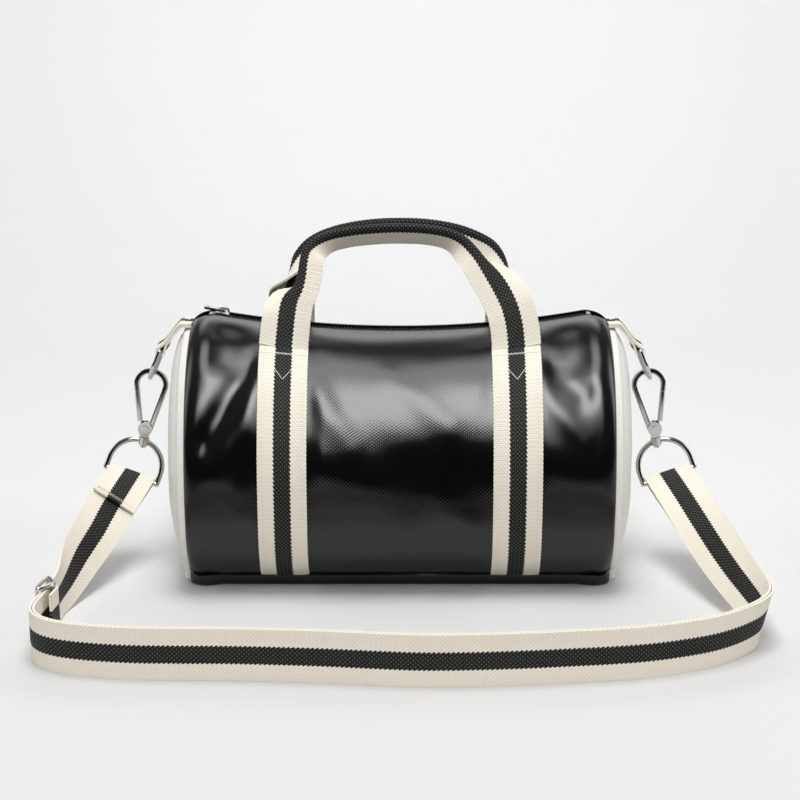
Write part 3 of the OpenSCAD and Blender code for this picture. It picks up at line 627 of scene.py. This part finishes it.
for side_name, side in (("front", -1), ("rear", 1)):
    panel = side_panel(side_name + "_skin", side)
    finish_piece(panel, BLACK, "bag", "black_coated", side_name + "_panel")
panel = finish_piece(base_panel(), BLACK, "bag", "black_base", "bottom_panel")
for side_name, sx in (("left", -1), ("right", 1)):
    panel = end_panel(side_name + "_end_skin", sx)
    finish_piece(panel, WHITE, "bag", "white_coated", side_name + "_end_panel")
    finish_piece(welt(side_name + "_end_welt", sx), WELT, "bag", "black_coated")


# Lining
LINING_IN, LINING_END_IN = 2.6, 1.5


def lining_tube():
    """The lining round the bag, open along the zip."""
    a0 = 90 + ZIP_ANGLE + 1

    def place(u, v):
        return section_point((2 * u - 1) * (HALF_L - LINING_END_IN), a0 + (540 - 2 * a0) * v, -LINING_IN)

    obj = draped_grid("lining_cloth", 60, 110, place, 0.259, 0.48)
    thicken(obj, LINING_T)
    smooth(obj, 60)
    return obj


def lining_disc(sx):
    """The lining of one end, a flat disc that just crowns in its middle."""
    def place(u, v):
        p = section_point(HALF_L - 1, 90 + 360 * u, -LINING_IN - 0.1)
        return Vector((sx * (HALF_L - 1.2 - 0.02 * v), p.y * (1 - v), MID_Z + (p.z - MID_Z) * (1 - v)))

    obj = draped_grid("lining_disc", 90, 8, place, 0.5, 0.08)
    welded(obj, WELD)
    thicken(obj, LINING_T)
    smooth(obj, 60)
    return obj


cloth = finish_piece(lining_tube(), LINING, "bag", "lining", "lining")
cloth = joined("lining_end_cloth", [lining_disc(-1), lining_disc(1)])
finish_piece(cloth, LINING, "bag", "lining", "lining_ends")


# Webbing
# Shares of the width at which the webbing's rows have points, closer together at the stripe's edges
ACROSS = [0, 0.012, 0.09, 0.18, 0.26, 0.318, 0.336, 0.348, 0.4, 0.43, 0.465, 0.5,
          0.535, 0.57, 0.6, 0.652, 0.664, 0.682, 0.74, 0.82, 0.91, 0.988, 1]
STRIPE_FROM, STRIPE_TO = 0.34, 0.66
STRIPE_STAND, STRIPE_RIB, CREAM_RIB, EDGE_RIB = 0.10, 0.12, 0.05, 0.16


def webbing_piece(name, rows):
    """Webbing through rows of middle-surface points, ribbed most along its black stripe."""
    m, n = len(rows[0]) - 1, len(rows) - 1
    middle = m // 2
    lengths = [0.0]
    for a, b in zip(rows, rows[1:]):
        lengths.append(lengths[-1] + (b[middle] - a[middle]).length)

    def place(u, v):
        return rows[int(round(v * n))][int(round(u * m))]

    obj = draped_grid(name, m, n, place)
    for corner in obj.data.uv_layers.active.data:
        i, j = int(round(corner.uv.x * m)), int(round(corner.uv.y * n))
        corner.uv = (ACROSS[i] * WEB_W * MM, lengths[j] * MM)
    thicken(obj, WEB_T, offset=0)
    verts = obj.data.vertices
    count = (m + 1) * (n + 1)
    for j in range(n + 1):
        swell = math.cos(2 * math.pi * lengths[j] / RIB_PITCH)
        sideways = (rows[j][0] - rows[j][m]).normalized() * MM * (EDGE_RIB * swell)
        for i in range(m + 1):
            k = j * (m + 1) + i
            a, b = verts[k], verts[k + count]
            out = (a.co - b.co).normalized() * MM
            in_stripe = STRIPE_FROM < ACROSS[i] < STRIPE_TO
            height = STRIPE_STAND + STRIPE_RIB * swell if in_stripe else CREAM_RIB * swell
            a.co += out * height
            b.co -= out * height
            if i in (0, 1, m - 1, m):
                edge = sideways * (1 if i < 2 else -1)
                a.co += edge
                b.co += edge
    smooth(obj, 50)
    return obj


def finish_webbing(obj, body, length, *replaced, held="stretched", rests_on=()):
    """Hand over a length of the 30 mm webbing; its flat size, length, is not used."""
    finish_piece(obj, WEBBING, body, "webbing", *replaced)
    return obj


EDGE_IN = 0.15


def sewn_rows(x, side):
    """Rows of a strap sewn down a panel, its edges drawn in by their stitches."""
    rows = []
    steps = 300
    a0, a1 = 90 + STITCH_ANGLE + STRAP_START, 270 - SEAM_ANGLE - MID_RISE + STRAP_STOP
    for i in range(steps + 1):
        a = a0 + (a1 - a0) * i / steps
        row = []
        for u in ACROSS:
            edge = min(u, 1 - u)
            lift = FABRIC_GAP + WEB_T / 2 - EDGE_IN * (1 - ease(edge / 0.06))
            row.append(body_point(x + (u - 0.5) * WEB_W, a, lift, side))
        rows.append(row)
    return rows if side < 0 else [row[::-1] for row in rows]


def stitch_pattern():
    """A thin straight stitch, modelled once and copied to each mark."""
    deselect()
    bpy.ops.mesh.primitive_uv_sphere_add(segments=6, ring_count=4, radius=1)
    obj = bpy.context.object
    obj.name = "stitch_pattern"
    smooth(obj, 80)
    return obj


def stitches(name, pattern, marks, length, radius):
    """Copies of the stitch at each mark: its middle, its direction and the direction outwards."""
    copies = []
    for middle, way, out in marks:
        way = way.normalized()
        out = (out - way * out.dot(way)).normalized()
        turn = Matrix((way, out.cross(way), out)).transposed().to_4x4()
        size = Matrix.Diagonal((length / 2 * MM, radius * MM, radius * MM, 1))
        copy = pattern.copy()
        copy.data = pattern.data.copy()
        copy.data.transform(Matrix.Translation(middle * MM) @ turn @ size)
        bpy.context.collection.objects.link(copy)
        copies.append(copy)
    return joined(name, copies)


def along(points, outs, pitch):
    """Marks every pitch along a line of points, each with its outward direction."""
    marks = []
    run = pitch / 2
    for a, b, out in zip(points, points[1:], outs):
        way = b - a
        while run <= way.length:
            marks.append((a + way * (run / way.length), way, out))
            run += pitch
        run -= way.length
    return marks


STITCH = stitch_pattern()


def strap_stitches(name, x, side):
    """Edge rows in tan thread, and the cream crossing rows with their V at the handle's foot."""
    lift = FABRIC_GAP + WEB_T + 0.05

    def sewn_line(start, stop, steps, pitch, rise):
        """Marks between two places, each as the way across from the strap's middle and an angle."""
        places = [[p + (q - p) * t / steps for p, q in zip(start, stop)] for t in range(steps + 1)]
        points = [body_point(x + across, a, lift + rise, side) for across, a in places]
        outs = [outward_at(x + across, a) for across, a in places]
        return along(points, [Vector((o.x, -o.y if side > 0 else o.y, o.z)) for o in outs], pitch)

    a0, a1 = 90 + STITCH_ANGLE + 0.8, 270 - SEAM_ANGLE - MID_RISE - 1.5
    edge_marks = []
    for u in (0.1, 0.9):
        across = (u - 0.5) * WEB_W
        edge_marks += sewn_line((across, a0), (across, a1), 70, 3.0, -0.1)

    top = 90 + STITCH_ANGLE + 3.2
    low, tip = top + 8.5, top + 13.6
    zigzag = [(-5.6 + 0.8 * i, top + (0.0 if i % 2 else 1.0)) for i in range(15)]
    cream_lines = [(p, q, 1.2, 0.25) for p, q in zip(zigzag, zigzag[1:])]
    cream_lines += [((from_x, top + 0.5), (from_x + 8, top + 0.5), 1.6, 0.0) for from_x in (-14, 6)]
    cream_lines += [((-5.4, low), (0, tip), 1.5, 0.2), ((0, tip), (5.4, low), 1.5, 0.2)]
    cream_marks = []
    for start, stop, pitch, rise in cream_lines:
        cream_marks += sewn_line(start, stop, 12, pitch, rise)
    rows = stitches(name + "_edge_stitches", STITCH, edge_marks, 1.1, 0.22)
    finish_piece(rows, TAN_THREAD, "bag", "webbing")
    rows = stitches(name + "_cross_stitches", STITCH, cream_marks, 1.9, 0.26)
    finish_piece(rows, THREAD, "bag", "webbing")


for strap, x, side in (("front_strap_left", -FRONT_STRAP_X, -1), ("front_strap_right", FRONT_STRAP_X, -1),
                       ("rear_strap_left", -REAR_STRAP_X, 1), ("rear_strap_right", REAR_STRAP_X, 1)):
    finish_webbing(webbing_piece(strap + "_webbing", sewn_rows(x, side)), "bag", 0.171, strap)
    strap_stitches(strap, x, side)


# Handles
def curve_points(p, m):
    """A Catmull-Rom line through points of any number of values, with m steps between two of them."""
    out = []
    for i in range(len(p) - 1):
        a, b, c, d = p[max(i - 1, 0)], p[i], p[i + 1], p[min(i + 2, len(p) - 1)]
        for j in range(m):
            u = j / m
            out.append([(2 * q + (r - o) * u + (2 * o - 5 * q + 4 * r - s) * u * u
                         + (3 * q - o - 3 * r + s) * u ** 3) / 2
                        for o, q, r, s in zip(a, b, c, d)])
    out.append(list(p[-1]))
    return out


def even_steps(points, step):
    """The same line with points an even step apart; extra values go along."""
    out = [list(points[0])]
    left = step
    for a, b in zip(points, points[1:]):
        length = math.dist(a[:2], b[:2])
        run = left
        while run <= length:
            out.append([p + (q - p) * run / length for p, q in zip(a, b)])
            run += step
        left = run - length
    out.append(list(points[-1]))
    return out


# The stripe's middle line along each handle: x, rise, how far the webbing is folded
# in half in degrees, and how far its inner half tilts backwards from the handle's plane
FRONT_GRIP = [(-72, 0, 0, 0), (-70.8, 11, 0, 0), (-69.6, 20, 6, 0), (-68, 28, 35, 0), (-64.5, 36, 80, 0),
              (-62.6, 44, 125, 0), (-61.5, 52, 155, 0), (-59.5, 59.5, 170, 8), (-54.5, 65, 176, 26),
              (-46, 69.2, 180, 48), (-33, 72.0, 180, 55), (-17, 73.8, 180, 56), (0, 74.4, 180, 56),
              (17, 73.6, 180, 56), (31, 71.0, 180, 52), (40, 66.6, 170, 38), (45.8, 61, 140, 18),
              (50.8, 54.5, 95, 4), (56.6, 45, 50, 0), (62.6, 34.5, 18, 0), (67.6, 23.5, 0, 0),
              (70.8, 11.5, 0, 0), (72, 0, 0, 0)]
REAR_GRIP = [(-71, 0, 0, 0), (-71, 12, 0, 0), (-70.6, 22, 25, 4), (-70, 32, 80, 10), (-69.4, 41, 130, 14),
             (-66.5, 48.5, 160, 18), (-60, 56, 176, 14), (-50, 62, 180, 8), (-36, 66.6, 180, 4),
             (-18, 69.6, 180, 4), (0, 70.4, 180, 4), (18, 69.6, 180, 4), (36, 66.4, 180, 4),
             (50, 61.2, 180, 8), (60, 55.2, 176, 14), (66, 47.5, 160, 12), (69, 38.5, 120, 8),
             (70.4, 28, 60, 2), (71, 18, 15, 0), (71, 9, 0, 0), (71, 0, 0, 0)]
FOLD_BEND_L, FOLD_STEPS = 2.3, 60
FOOT_RISE = 22


def folded_section(fold, tilt):
    """The webbing's cross section folded round its middle: for each share of the width,
    the way towards the inside of the arch and the way backwards."""
    half_turn = math.radians(fold) / 2
    middle = math.radians(tilt) - half_turn
    ways = {0: (0.0, 0.0)}
    for sign in (-1, 1):
        inward = backward = 0.0
        for k in range(FOLD_STEPS):
            s = (k + 0.5) / FOLD_STEPS * WEB_W / 2
            a = middle + sign * half_turn * min(1.0, s / FOLD_BEND_L)
            inward += sign * math.cos(a) * WEB_W / 2 / FOLD_STEPS
            backward += sign * math.sin(a) * WEB_W / 2 / FOLD_STEPS
            ways[sign * (k + 1)] = (inward, backward)
    out = []
    for u in ACROSS:
        t = (2 * u - 1) * FOLD_STEPS
        k = min(FOLD_STEPS - 1, max(-FOLD_STEPS, math.floor(t)))
        a, b = ways[k], ways[k + 1]
        out.append((a[0] + (b[0] - a[0]) * (t - k), a[1] + (b[1] - a[1]) * (t - k)))
    return out


def handle_rows(side, lean, grip):
    """Rows of a handle: flat legs that fold in half lengthwise round the grip, stripe on the crest."""
    path = even_steps(curve_points(grip, 12), RIB_PITCH / 4)
    foot_lift = FABRIC_GAP + WEB_T / 2
    rest_lift = FABRIC_GAP + WEB_T + RUN_GAP + WEB_T / 2
    rest = section_point((STRAP_PITCH + WEB_W) / 2, 90 + STITCH_ANGLE, rest_lift)
    lean = math.radians(lean)
    up = Vector((0, math.sin(lean), math.cos(lean)))
    back = Vector((0, math.cos(lean), -math.sin(lean)))
    n = len(path) - 1
    rows = []
    for i, (x, rise, fold, tilt) in enumerate(path):
        a, b = path[max(i - 3, 0)], path[min(i + 3, n)]
        t = Vector((b[0] - a[0], b[1] - a[1])).normalized()
        inward = Vector((t.y, 0, 0)) - up * t.x
        row = []
        # the legs start on the sewn strap and leave it for the handle's own plane
        for reach, depth in folded_section(clamp(fold / 180) * 180, max(0.0, tilt)):
            foot = section_point(x + inward.x * reach, 90 + STITCH_ANGLE, foot_lift)
            start = foot.lerp(rest, ease(rise / FOOT_RISE))
            p = Vector((x, start.y, start.z)) + up * rise + inward * reach + back * depth
            if side > 0:
                p.y = -p.y
            row.append(p)
        rows.append(row)
    return rows if side < 0 else [row[::-1] for row in rows]


grab = webbing_piece("front_grab_webbing", handle_rows(-1, FRONT_LEAN, FRONT_GRIP))
finish_webbing(grab, "front_handle", 0.24, "front_handle")
grab = webbing_piece("rear_grab_webbing", handle_rows(1, REAR_LEAN, REAR_GRIP))
finish_webbing(grab, "rear_handle", 0.235, "rear_handle")


# Zip
TAPE_FROM, TAPE_TO, TAPE_IN = 90.8, 100.0, 2.0
COIL_WIRE_R, COIL_STEPS = 0.36, 8


def zip_tape(name, side):
    """One tape of the zip, under the edge of its skin."""
    def place(u, v):
        p = section_point((2 * u - 1) * (HALF_L - 0.5), TAPE_FROM + (TAPE_TO - TAPE_FROM) * v, -TAPE_IN)
        return Vector((p.x, -p.y if side > 0 else p.y, p.z))

    obj = draped_grid(name, 80, 4, place, 0.261, 0.012, flip=side > 0)
    thicken(obj, TAPE_T, offset=0)
    smooth(obj, 50)
    return obj


def zip_coil(name, side):
    """One row of the coil: a bowed helix along the slit, one turn every two millimetres."""
    turns = int(2 * ZIP_HALF / COIL_PITCH)
    inset = 0.35
    path = []
    for i in range(turns * COIL_STEPS + 1):
        t = 2 * math.pi * i / COIL_STEPS
        x = -ZIP_HALF + COIL_PITCH * i / COIL_STEPS
        y = 0.5 + COIL_W / 2 - (COIL_W / 2 - inset) * math.cos(t)
        z = BODY_H - 0.5 - sag_at(x) + (COIL_H / 2 - inset) * math.sin(t)
        path.append((x + 0.25 * math.cos(t), y * side, z))
    return tube(name, path, COIL_WIRE_R, 5)


for side_name, side in (("front", -1), ("rear", 1)):
    tape = zip_tape(side_name + "_zip_cloth", side)
    finish_piece(tape, TAPE, "bag", "zip_tape", "zip_tape_" + side_name)
    coil = zip_coil(side_name + "_zip_helix", side)
    finish_piece(coil, COIL, "bag", "zip_coil", "zip_coil_" + side_name)


# End tabs
# The tab's root, its bend and the ring's bar that it wraps, as in the part's source
TAB_W = 24.0
RING_X, RING_Z, RING_R = 151.8186, 138.4026, 1.6
TAB_ROOT_X, TAB_BEND_X, TAB_ROOT_Z = 131.4, 139.64, 153.3
TAB_DROOP = 0.5


def tab(name, sx):
    """The webbing that leaves the end seam, wraps the ring's bar and comes back underneath."""
    wrap = RING_R + SLIDE_GAP + WEB_T / 2
    slope = math.atan2(TAB_ROOT_Z + WEB_T - RING_Z, RING_X - TAB_BEND_X)
    way = Vector((math.cos(slope), 0, -math.sin(slope)))
    up = Vector((math.sin(slope), 0, math.cos(slope)))
    ring = Vector((RING_X, 0, RING_Z))

    def by_root(x, rise):
        return Vector((x, 0, TAB_ROOT_Z + rise))

    def by_ring(back, rise):
        return ring - way * back + up * rise

    upper = [by_root(TAB_ROOT_X, 1.95), by_root(TAB_ROOT_X + 4, 2.0), by_root(TAB_BEND_X, 1.6),
             by_ring(8, 0.75), by_ring(4, 1.2)]
    turns = [math.radians(degrees) for degrees in range(-15, 196, 30)]
    turn = [ring + (up * math.cos(a) + way * math.sin(a)) * wrap for a in turns]
    lower = [by_ring(4, -1.2), by_ring(8, -0.7), by_root(TAB_BEND_X - 0.8, 0.1),
             by_root(TAB_ROOT_X + 4, 0.66), by_root(TAB_ROOT_X, 0.65)]
    line = even_steps(curve_points([(p.x, p.z) for p in upper + turn + lower], 12), 0.6)
    rows = []
    for x, z in line:
        row = []
        for u in ACROSS:
            y = (u - 0.5) * TAB_W
            droop = TAB_DROOP * (2 * y / TAB_W) ** 2 * clamp((x - 132) / 8)
            row.append(Vector((sx * (x - 0.3 * droop), y * sx, z - droop)))
        rows.append(row)
    return webbing_piece(name, rows)


for side_name, sx in (("left", -1), ("right", 1)):
    piece = tab(side_name + "_tab_webbing", sx)
    finish_piece(piece, WEBBING, "bag", "webbing", side_name + "_tab")


# Shoulder strap
# The strap's route from the left loop to the right one: share of its reach to the side and to the
# front, height share up to the loop's bar, and turn of the webbing's width in degrees
ROUTE = [(-0.868, 0.165, 0.76, 146), (-0.897, 0.26, 0.5, 133), (-0.928, 0.36, 0.27, 118),
         (-0.947, 0.46, 0.08, 102), (-0.955, 0.53, 0.02, 92), (-0.959, 0.6, 0, 90), (-0.963, 0.67, 0, 90),
         (-0.975, 0.76, 0, 90), (-0.972, 0.83, 0, 90), (-0.93, 0.89, 0, 90), (-0.84, 0.93, 0, 90),
         (-0.68, 0.955, 0, 90), (-0.44, 0.96, 0, 90), (-0.2, 0.975, 0, 90), (0.04, 1, 0, 90),
         (0.24, 0.995, 0, 90), (0.44, 0.975, 0, 90), (0.64, 0.945, 0, 90), (0.82, 0.88, 0, 88),
         (0.93, 0.8, 0.01, 84), (0.975, 0.745, 0.04, 79), (0.99, 0.69, 0.07, 74), (0.983, 0.62, 0.11, 69),
         (0.955, 0.5, 0.22, 58), (0.925, 0.39, 0.38, 46), (0.892, 0.27, 0.6, 34), (0.86, 0.16, 0.82, 25)]
STRAP_SIDE, STRAP_FRONT = 210.0, 208.0
# The bar of the D loop that the strap wraps, and its tilt
BAR = Vector((174.3921, -6.2117, 54.1490))
LOOP_TILT, LOOP_WIRE = 20.5, 3.5
LOOP_WRAP = LOOP_WIRE / 2 + FABRIC_GAP + WEB_T / 2
LAYER_GAP = WEB_T + 0.5
SLIDER_ROW, SLIDER_R, SLIDER_PITCH = 6, 1.2, 9.0
SLIDER_RAIL = WEB_T / 2 + 2 * FABRIC_GAP + SLIDER_R
SLIDER_MIDDLE = WEB_T / 2 + 3 * FABRIC_GAP + WEB_T + SLIDER_R
TRACK_STEPS, SETTLE_STEPS, BEND_STEPS = 2, 4, 6


def shoulder_frames():
    """The strap's frames in order, as a point and the direction of its width: the sewn fold behind
    the left loop, the long outer run, the inner run back to the slider, and the slider's own frame."""
    lie = WEB_W / 2
    route = [(-BAR.x, BAR.y, BAR.z, 180 - LOOP_TILT)]
    route += [(s[0] * STRAP_SIDE, -s[1] * STRAP_FRONT, lie + s[2] * (BAR.z - lie), s[3]) for s in ROUTE]
    route.append((BAR.x, BAR.y, BAR.z, LOOP_TILT))
    track = curve_points(route, TRACK_STEPS)
    line = [Vector(p[:3]) for p in track]
    last = len(track) - 1
    slider_at = (SLIDER_ROW + 1) * TRACK_STEPS

    def way(i):
        return (line[min(i + 1, last)] - line[max(i - 1, 0)]).normalized()

    def width(i):
        a = math.radians(track[i][3])
        w = Vector((math.cos(a), 0, math.sin(a)))
        return w if i in (0, last) else (w - way(i) * w.dot(way(i))).normalized()

    def out(i):
        return way(i).cross(width(i)).normalized()

    def settle(i, a, b):
        return a + (b - a) * ease(i / SETTLE_STEPS)

    def bend(centre, w, start, past, radius):
        turns = [math.pi * k / BEND_STEPS for k in range(BEND_STEPS + 1)]
        return [(centre + (start * math.cos(t) + past * math.sin(t)) * radius, w) for t in turns]

    fold = [(line[i] - out(i) * settle(i, LOOP_WRAP, LAYER_GAP), width(i)) for i in range(2, 0, -1)]
    left_turn = bend(line[0], width(0), -out(0), out(0).cross(width(0)), LOOP_WRAP)
    outer = [(line[i] + out(i) * settle(min(i, last - i), LOOP_WRAP, 0), width(i)) for i in range(1, last)]
    right_turn = bend(line[last], width(last), out(last), width(last).cross(out(last)), LOOP_WRAP)
    inner = [(line[i] - out(i) * settle(last - i, LOOP_WRAP, LAYER_GAP), width(i))
             for i in range(last - 1, slider_at, -1)]
    here, onwards, away, w = line[slider_at], way(slider_at), out(slider_at), width(slider_at)
    c = here - away * SLIDER_MIDDLE
    wrap = SLIDER_R + FABRIC_GAP + WEB_T / 2
    slider_turn = bend(c, w, away, -onwards, wrap)
    stub = [(c - away * wrap + onwards * t * SLIDER_PITCH, w) for t in (0.7, 1.4)]
    return fold, left_turn + outer + right_turn, inner + slider_turn + stub, (here, onwards, away, w)


def strap_rows(frames, step):
    """Rows of the webbing an even step apart along its frames, and their whole length."""
    line = curve_points([tuple(p) + tuple(w) for p, w in frames], 6)
    run, kept = 0.0, []
    for value in line:
        p = Vector(value[:3])
        if kept:
            run += (p - kept[-1][1]).length
        kept.append((run, p, Vector(value[3:]).normalized()))
    total = kept[-1][0]
    count = max(2, int(total / step))
    rows = []
    j = 0
    for i in range(count + 1):
        s = total * i / count
        while j < len(kept) - 2 and kept[j + 1][0] < s:
            j += 1
        s0, p0, w0 = kept[j]
        s1, p1, w1 = kept[j + 1]
        t = clamp((s - s0) / max(1e-9, s1 - s0))
        w = w0.lerp(w1, t).normalized()
        middle = p0.lerp(p1, t)
        rows.append([middle + w * ((u - 0.5) * WEB_W) for u in ACROSS])
    return rows, total


def shoulder_strap():
    """The strap with its slider and the sewn end's stitches, and its whole length in metres."""
    fold, outer, inner, slider = shoulder_frames()
    rows, outer_l = strap_rows(fold + outer, RIB_PITCH / 4)
    first = webbing_piece("shoulder_outer_run", rows)
    rows, inner_l = strap_rows([outer[-1]] + inner, RIB_PITCH / 2)
    second = webbing_piece("shoulder_inner_run", rows)
    obj = joined("shoulder_strap_webbing", [first, second])
    strap_end_stitches(fold, outer)
    finish_piece(strap_slider(*slider), NICKEL, "shoulder_strap", "nickel", "strap_slider")
    return obj, (outer_l + inner_l) * MM


def strap_slider(line, way, out, width):
    """The bowed wire frame: three bars between two rounded side loops."""
    rail, middle = -SLIDER_RAIL, SLIDER_MIDDLE
    side = WEB_W / 2 + 0.6 + SLIDER_R

    def at(x, y, z):
        return line + way * x - out * y + width * z

    parts = []
    for x, y in ((-SLIDER_PITCH, rail), (0, middle), (SLIDER_PITCH, rail)):
        parts.append(tube("bar", [at(x, y, -side), at(x, y, side)], SLIDER_R, 12))
    flank_x, flank_y = SLIDER_PITCH * 0.55, (rail + middle) / 2 + 1
    corners = [(-SLIDER_PITCH, rail), (0, rail - 0.6), (SLIDER_PITCH, rail), (flank_x, flank_y),
               (0, middle + 0.4), (-flank_x, flank_y), (-SLIDER_PITCH, rail), (0, rail - 0.6)]
    loop = curve_points(corners, 6)[:-6]
    for z in (-side, side):
        parts.append(tube("side", [at(x, y, z) for x, y in loop], SLIDER_R, 12))
    return joined("strap_slider_frame", parts)


def strap_end_stitches(fold, outer):
    """Two crossing rows that sew the folded end down: tan on the cream, cream on the stripe."""
    (end, width), (after, _) = fold[0], fold[1]
    back = min((p for p, _ in outer), key=lambda p: (p - end).length)
    out = (end - back).normalized()
    way = (after - end).normalized()

    def row(u0, u1, pitch):
        lift = out * (WEB_T / 2 + 0.12)
        marks = []
        for rise in (2.4, 3.6):
            p, q = [end + way * rise + lift + width * ((u - 0.5) * WEB_W) for u in (u0, u1)]
            marks += along([p, q], [out], pitch)
        return marks

    rows = stitches("strap_end_tan_stitches", STITCH, row(0.05, 0.31, 2.0) + row(0.69, 0.95, 2.0), 1.5, 0.26)
    finish_piece(rows, TAN_THREAD, "shoulder_strap", "webbing")
    rows = stitches("strap_end_cream_stitches", STITCH, row(0.34, 0.66, 1.6), 1.5, 0.26)
    finish_piece(rows, THREAD, "shoulder_strap", "webbing")


strap, strap_length = shoulder_strap()
finish_webbing(strap, "shoulder_strap", strap_length, "shoulder_webbing", held="laid", rests_on=["floor"])
bpy.data.objects.remove(STITCH)


# Metal parts and the base board
PLATED = ["tab_rivets"] + [side_name + part for side_name in ("left", "right")
                           for part in ("_ring", "_hook", "_gate", "_gate_rivet", "_d_loop")]
for material, names in ((ZIP_METAL, ["zip_stops", "zip_slider", "zip_pull"]), (NICKEL, PLATED),
                        (SPRING, ["left_gate_spring", "right_gate_spring"]), (BOARD, ["base_board"])):
    for name in names:
        nodes[name].data.materials.clear()
        nodes[name].data.materials.append(material)


# Studio, in metres
FLOOR_W, FLOOR_RUN = 3.2, 2.6
FLOOR_FRONT, FLOOR_TURN, COVE_R = -0.37, 1.1, 0.5
FLOOR_GREY, GLOW, GLOW_FROM, GLOW_TO = (0.80, 0.80, 0.805), 0.23, 0.6, 1.9
SKY_GREY, SKY_SEEN = 0.2, 0.88


def studio_floor():
    """A pale floor that turns up behind the bag, brighter there for the eye and for reflections."""
    deselect()
    bpy.ops.mesh.primitive_grid_add(x_subdivisions=2, y_subdivisions=60, size=1)
    sheet = bpy.context.object
    sheet.name = "floor"
    flat = FLOOR_TURN - FLOOR_FRONT
    for v in sheet.data.vertices:
        run = FLOOR_RUN * (v.co.y + 0.5)
        y, z = FLOOR_FRONT + run, 0.0
        if run >= flat:
            turn = (run - flat) / COVE_R
            bent = min(turn, math.pi / 2)
            y = FLOOR_TURN + COVE_R * math.sin(bent)
            z = COVE_R * (1 - math.cos(bent)) + COVE_R * (turn - bent)
        v.co = Vector((v.co.x * FLOOR_W, y, z))
    smooth(sheet, 60)
    material, tree, shader = new_material("pale_floor")
    coords = make(tree, "ShaderNodeTexCoord")
    sep = make(tree, "ShaderNodeSeparateXYZ")
    tree.links.new(coords.outputs["Object"], sep.inputs["Vector"])
    ray = make(tree, "ShaderNodeLightPath")
    seen = maths(tree, "MAXIMUM", ray.outputs["Is Camera Ray"], ray.outputs["Is Glossy Ray"])
    far = spread(tree, maths(tree, "ADD", sep.outputs["Y"], sep.outputs["Z"]), GLOW_FROM, GLOW_TO, 0.0, 1.0)
    glow = mixed(tree, maths(tree, "MULTIPLY", seen, far), (0, 0, 0), (GLOW, GLOW, GLOW))
    feed(shader, Base_Color=FLOOR_GREY, Roughness=0.8, Specular_IOR_Level=0.1,
         Emission_Color=glow, Emission_Strength=1.0)
    sheet.data.materials.clear()
    sheet.data.materials.append(material)
    return sheet


def studio_world():
    """Dark behind the camera and low down, grey above and behind the bag, and pale to the eye."""
    world = bpy.data.worlds.new("studio")
    bpy.context.scene.world = world
    world.use_nodes = True
    tree = world.node_tree
    coords = make(tree, "ShaderNodeTexCoord")
    sep = make(tree, "ShaderNodeSeparateXYZ")
    tree.links.new(coords.outputs["Generated"], sep.inputs["Vector"])
    height = maths(tree, "MULTIPLY_ADD", sep.outputs["Y"], 0.6, sep.outputs["Z"])
    grey = spread(tree, height, -0.3, 0.8, 0.0, SKY_GREY)
    ray = make(tree, "ShaderNodeLightPath")
    colour = mixed(tree, ray.outputs["Is Camera Ray"], grey, (SKY_SEEN, SKY_SEEN, SKY_SEEN))
    feed(tree.nodes["Background"], Color=colour, Strength=1.0)


def polar(elevation, distance):
    """A place over the bag's middle plane, in front of it below 90 degrees and behind it above."""
    e = math.radians(elevation)
    return (0, -distance * math.cos(e), 0.1 + distance * math.sin(e))


def soft_lamp(name, place, aim, width, height, power):
    """A rectangular lamp that the camera doesn't see, with its power in watts."""
    data = bpy.data.lights.new(name, "AREA")
    data.shape = "RECTANGLE"
    data.size = width
    data.size_y = height
    data.energy = power
    lamp = bpy.data.objects.new(name, data)
    bpy.context.collection.objects.link(lamp)
    lamp.location = place
    lamp.rotation_euler = (Vector(aim) - Vector(place)).to_track_quat("-Z", "Y").to_euler()
    lamp.visible_camera = False
    return lamp


def limit_lamp(lamp, piece, state):
    """Light linking: the lamp leaves the piece out, or lights nothing else."""
    links = bpy.data.collections.new(lamp.name + "_links")
    links.objects.link(piece)
    links.collection_objects[0].light_linking.link_state = state
    lamp.light_linking.receiver_collection = links


floor = studio_floor()
studio_world()
front = soft_lamp("front_softbox", polar(52.5, 1.7), (0, 0, 0.1), 0.64, 1.2, 24)
fill = soft_lamp("floor_fill", polar(52.5, 2.0), (0, 0, 0), 0.64, 1.2, 9)
overhead = soft_lamp("floor_softbox", (0, 0, 2.1), (0, 0, 0), 0.7, 0.7, 12.5)
soft_lamp("top_softbox", polar(86, 1.7), (0, 0, 0.1), 0.7, 0.85, 7.5)
soft_lamp("rear_softbox", polar(137, 1.7), (0, 0, 0.1), 1.4, 0.8, 7)
soft_lamp("left_softbox", (-2.0, 0.2, 0.9), (0, 0, 0.1), 1.0, 1.4, 8)
soft_lamp("right_softbox", (2.0, 0.2, 0.9), (0, 0, 0.1), 1.0, 1.4, 11)
# the front box lights the bag alone; the floor has lamps of its own, mostly from above, for its shadow
limit_lamp(front, floor, "EXCLUDE")
limit_lamp(fill, floor, "INCLUDE")
limit_lamp(overhead, floor, "INCLUDE")
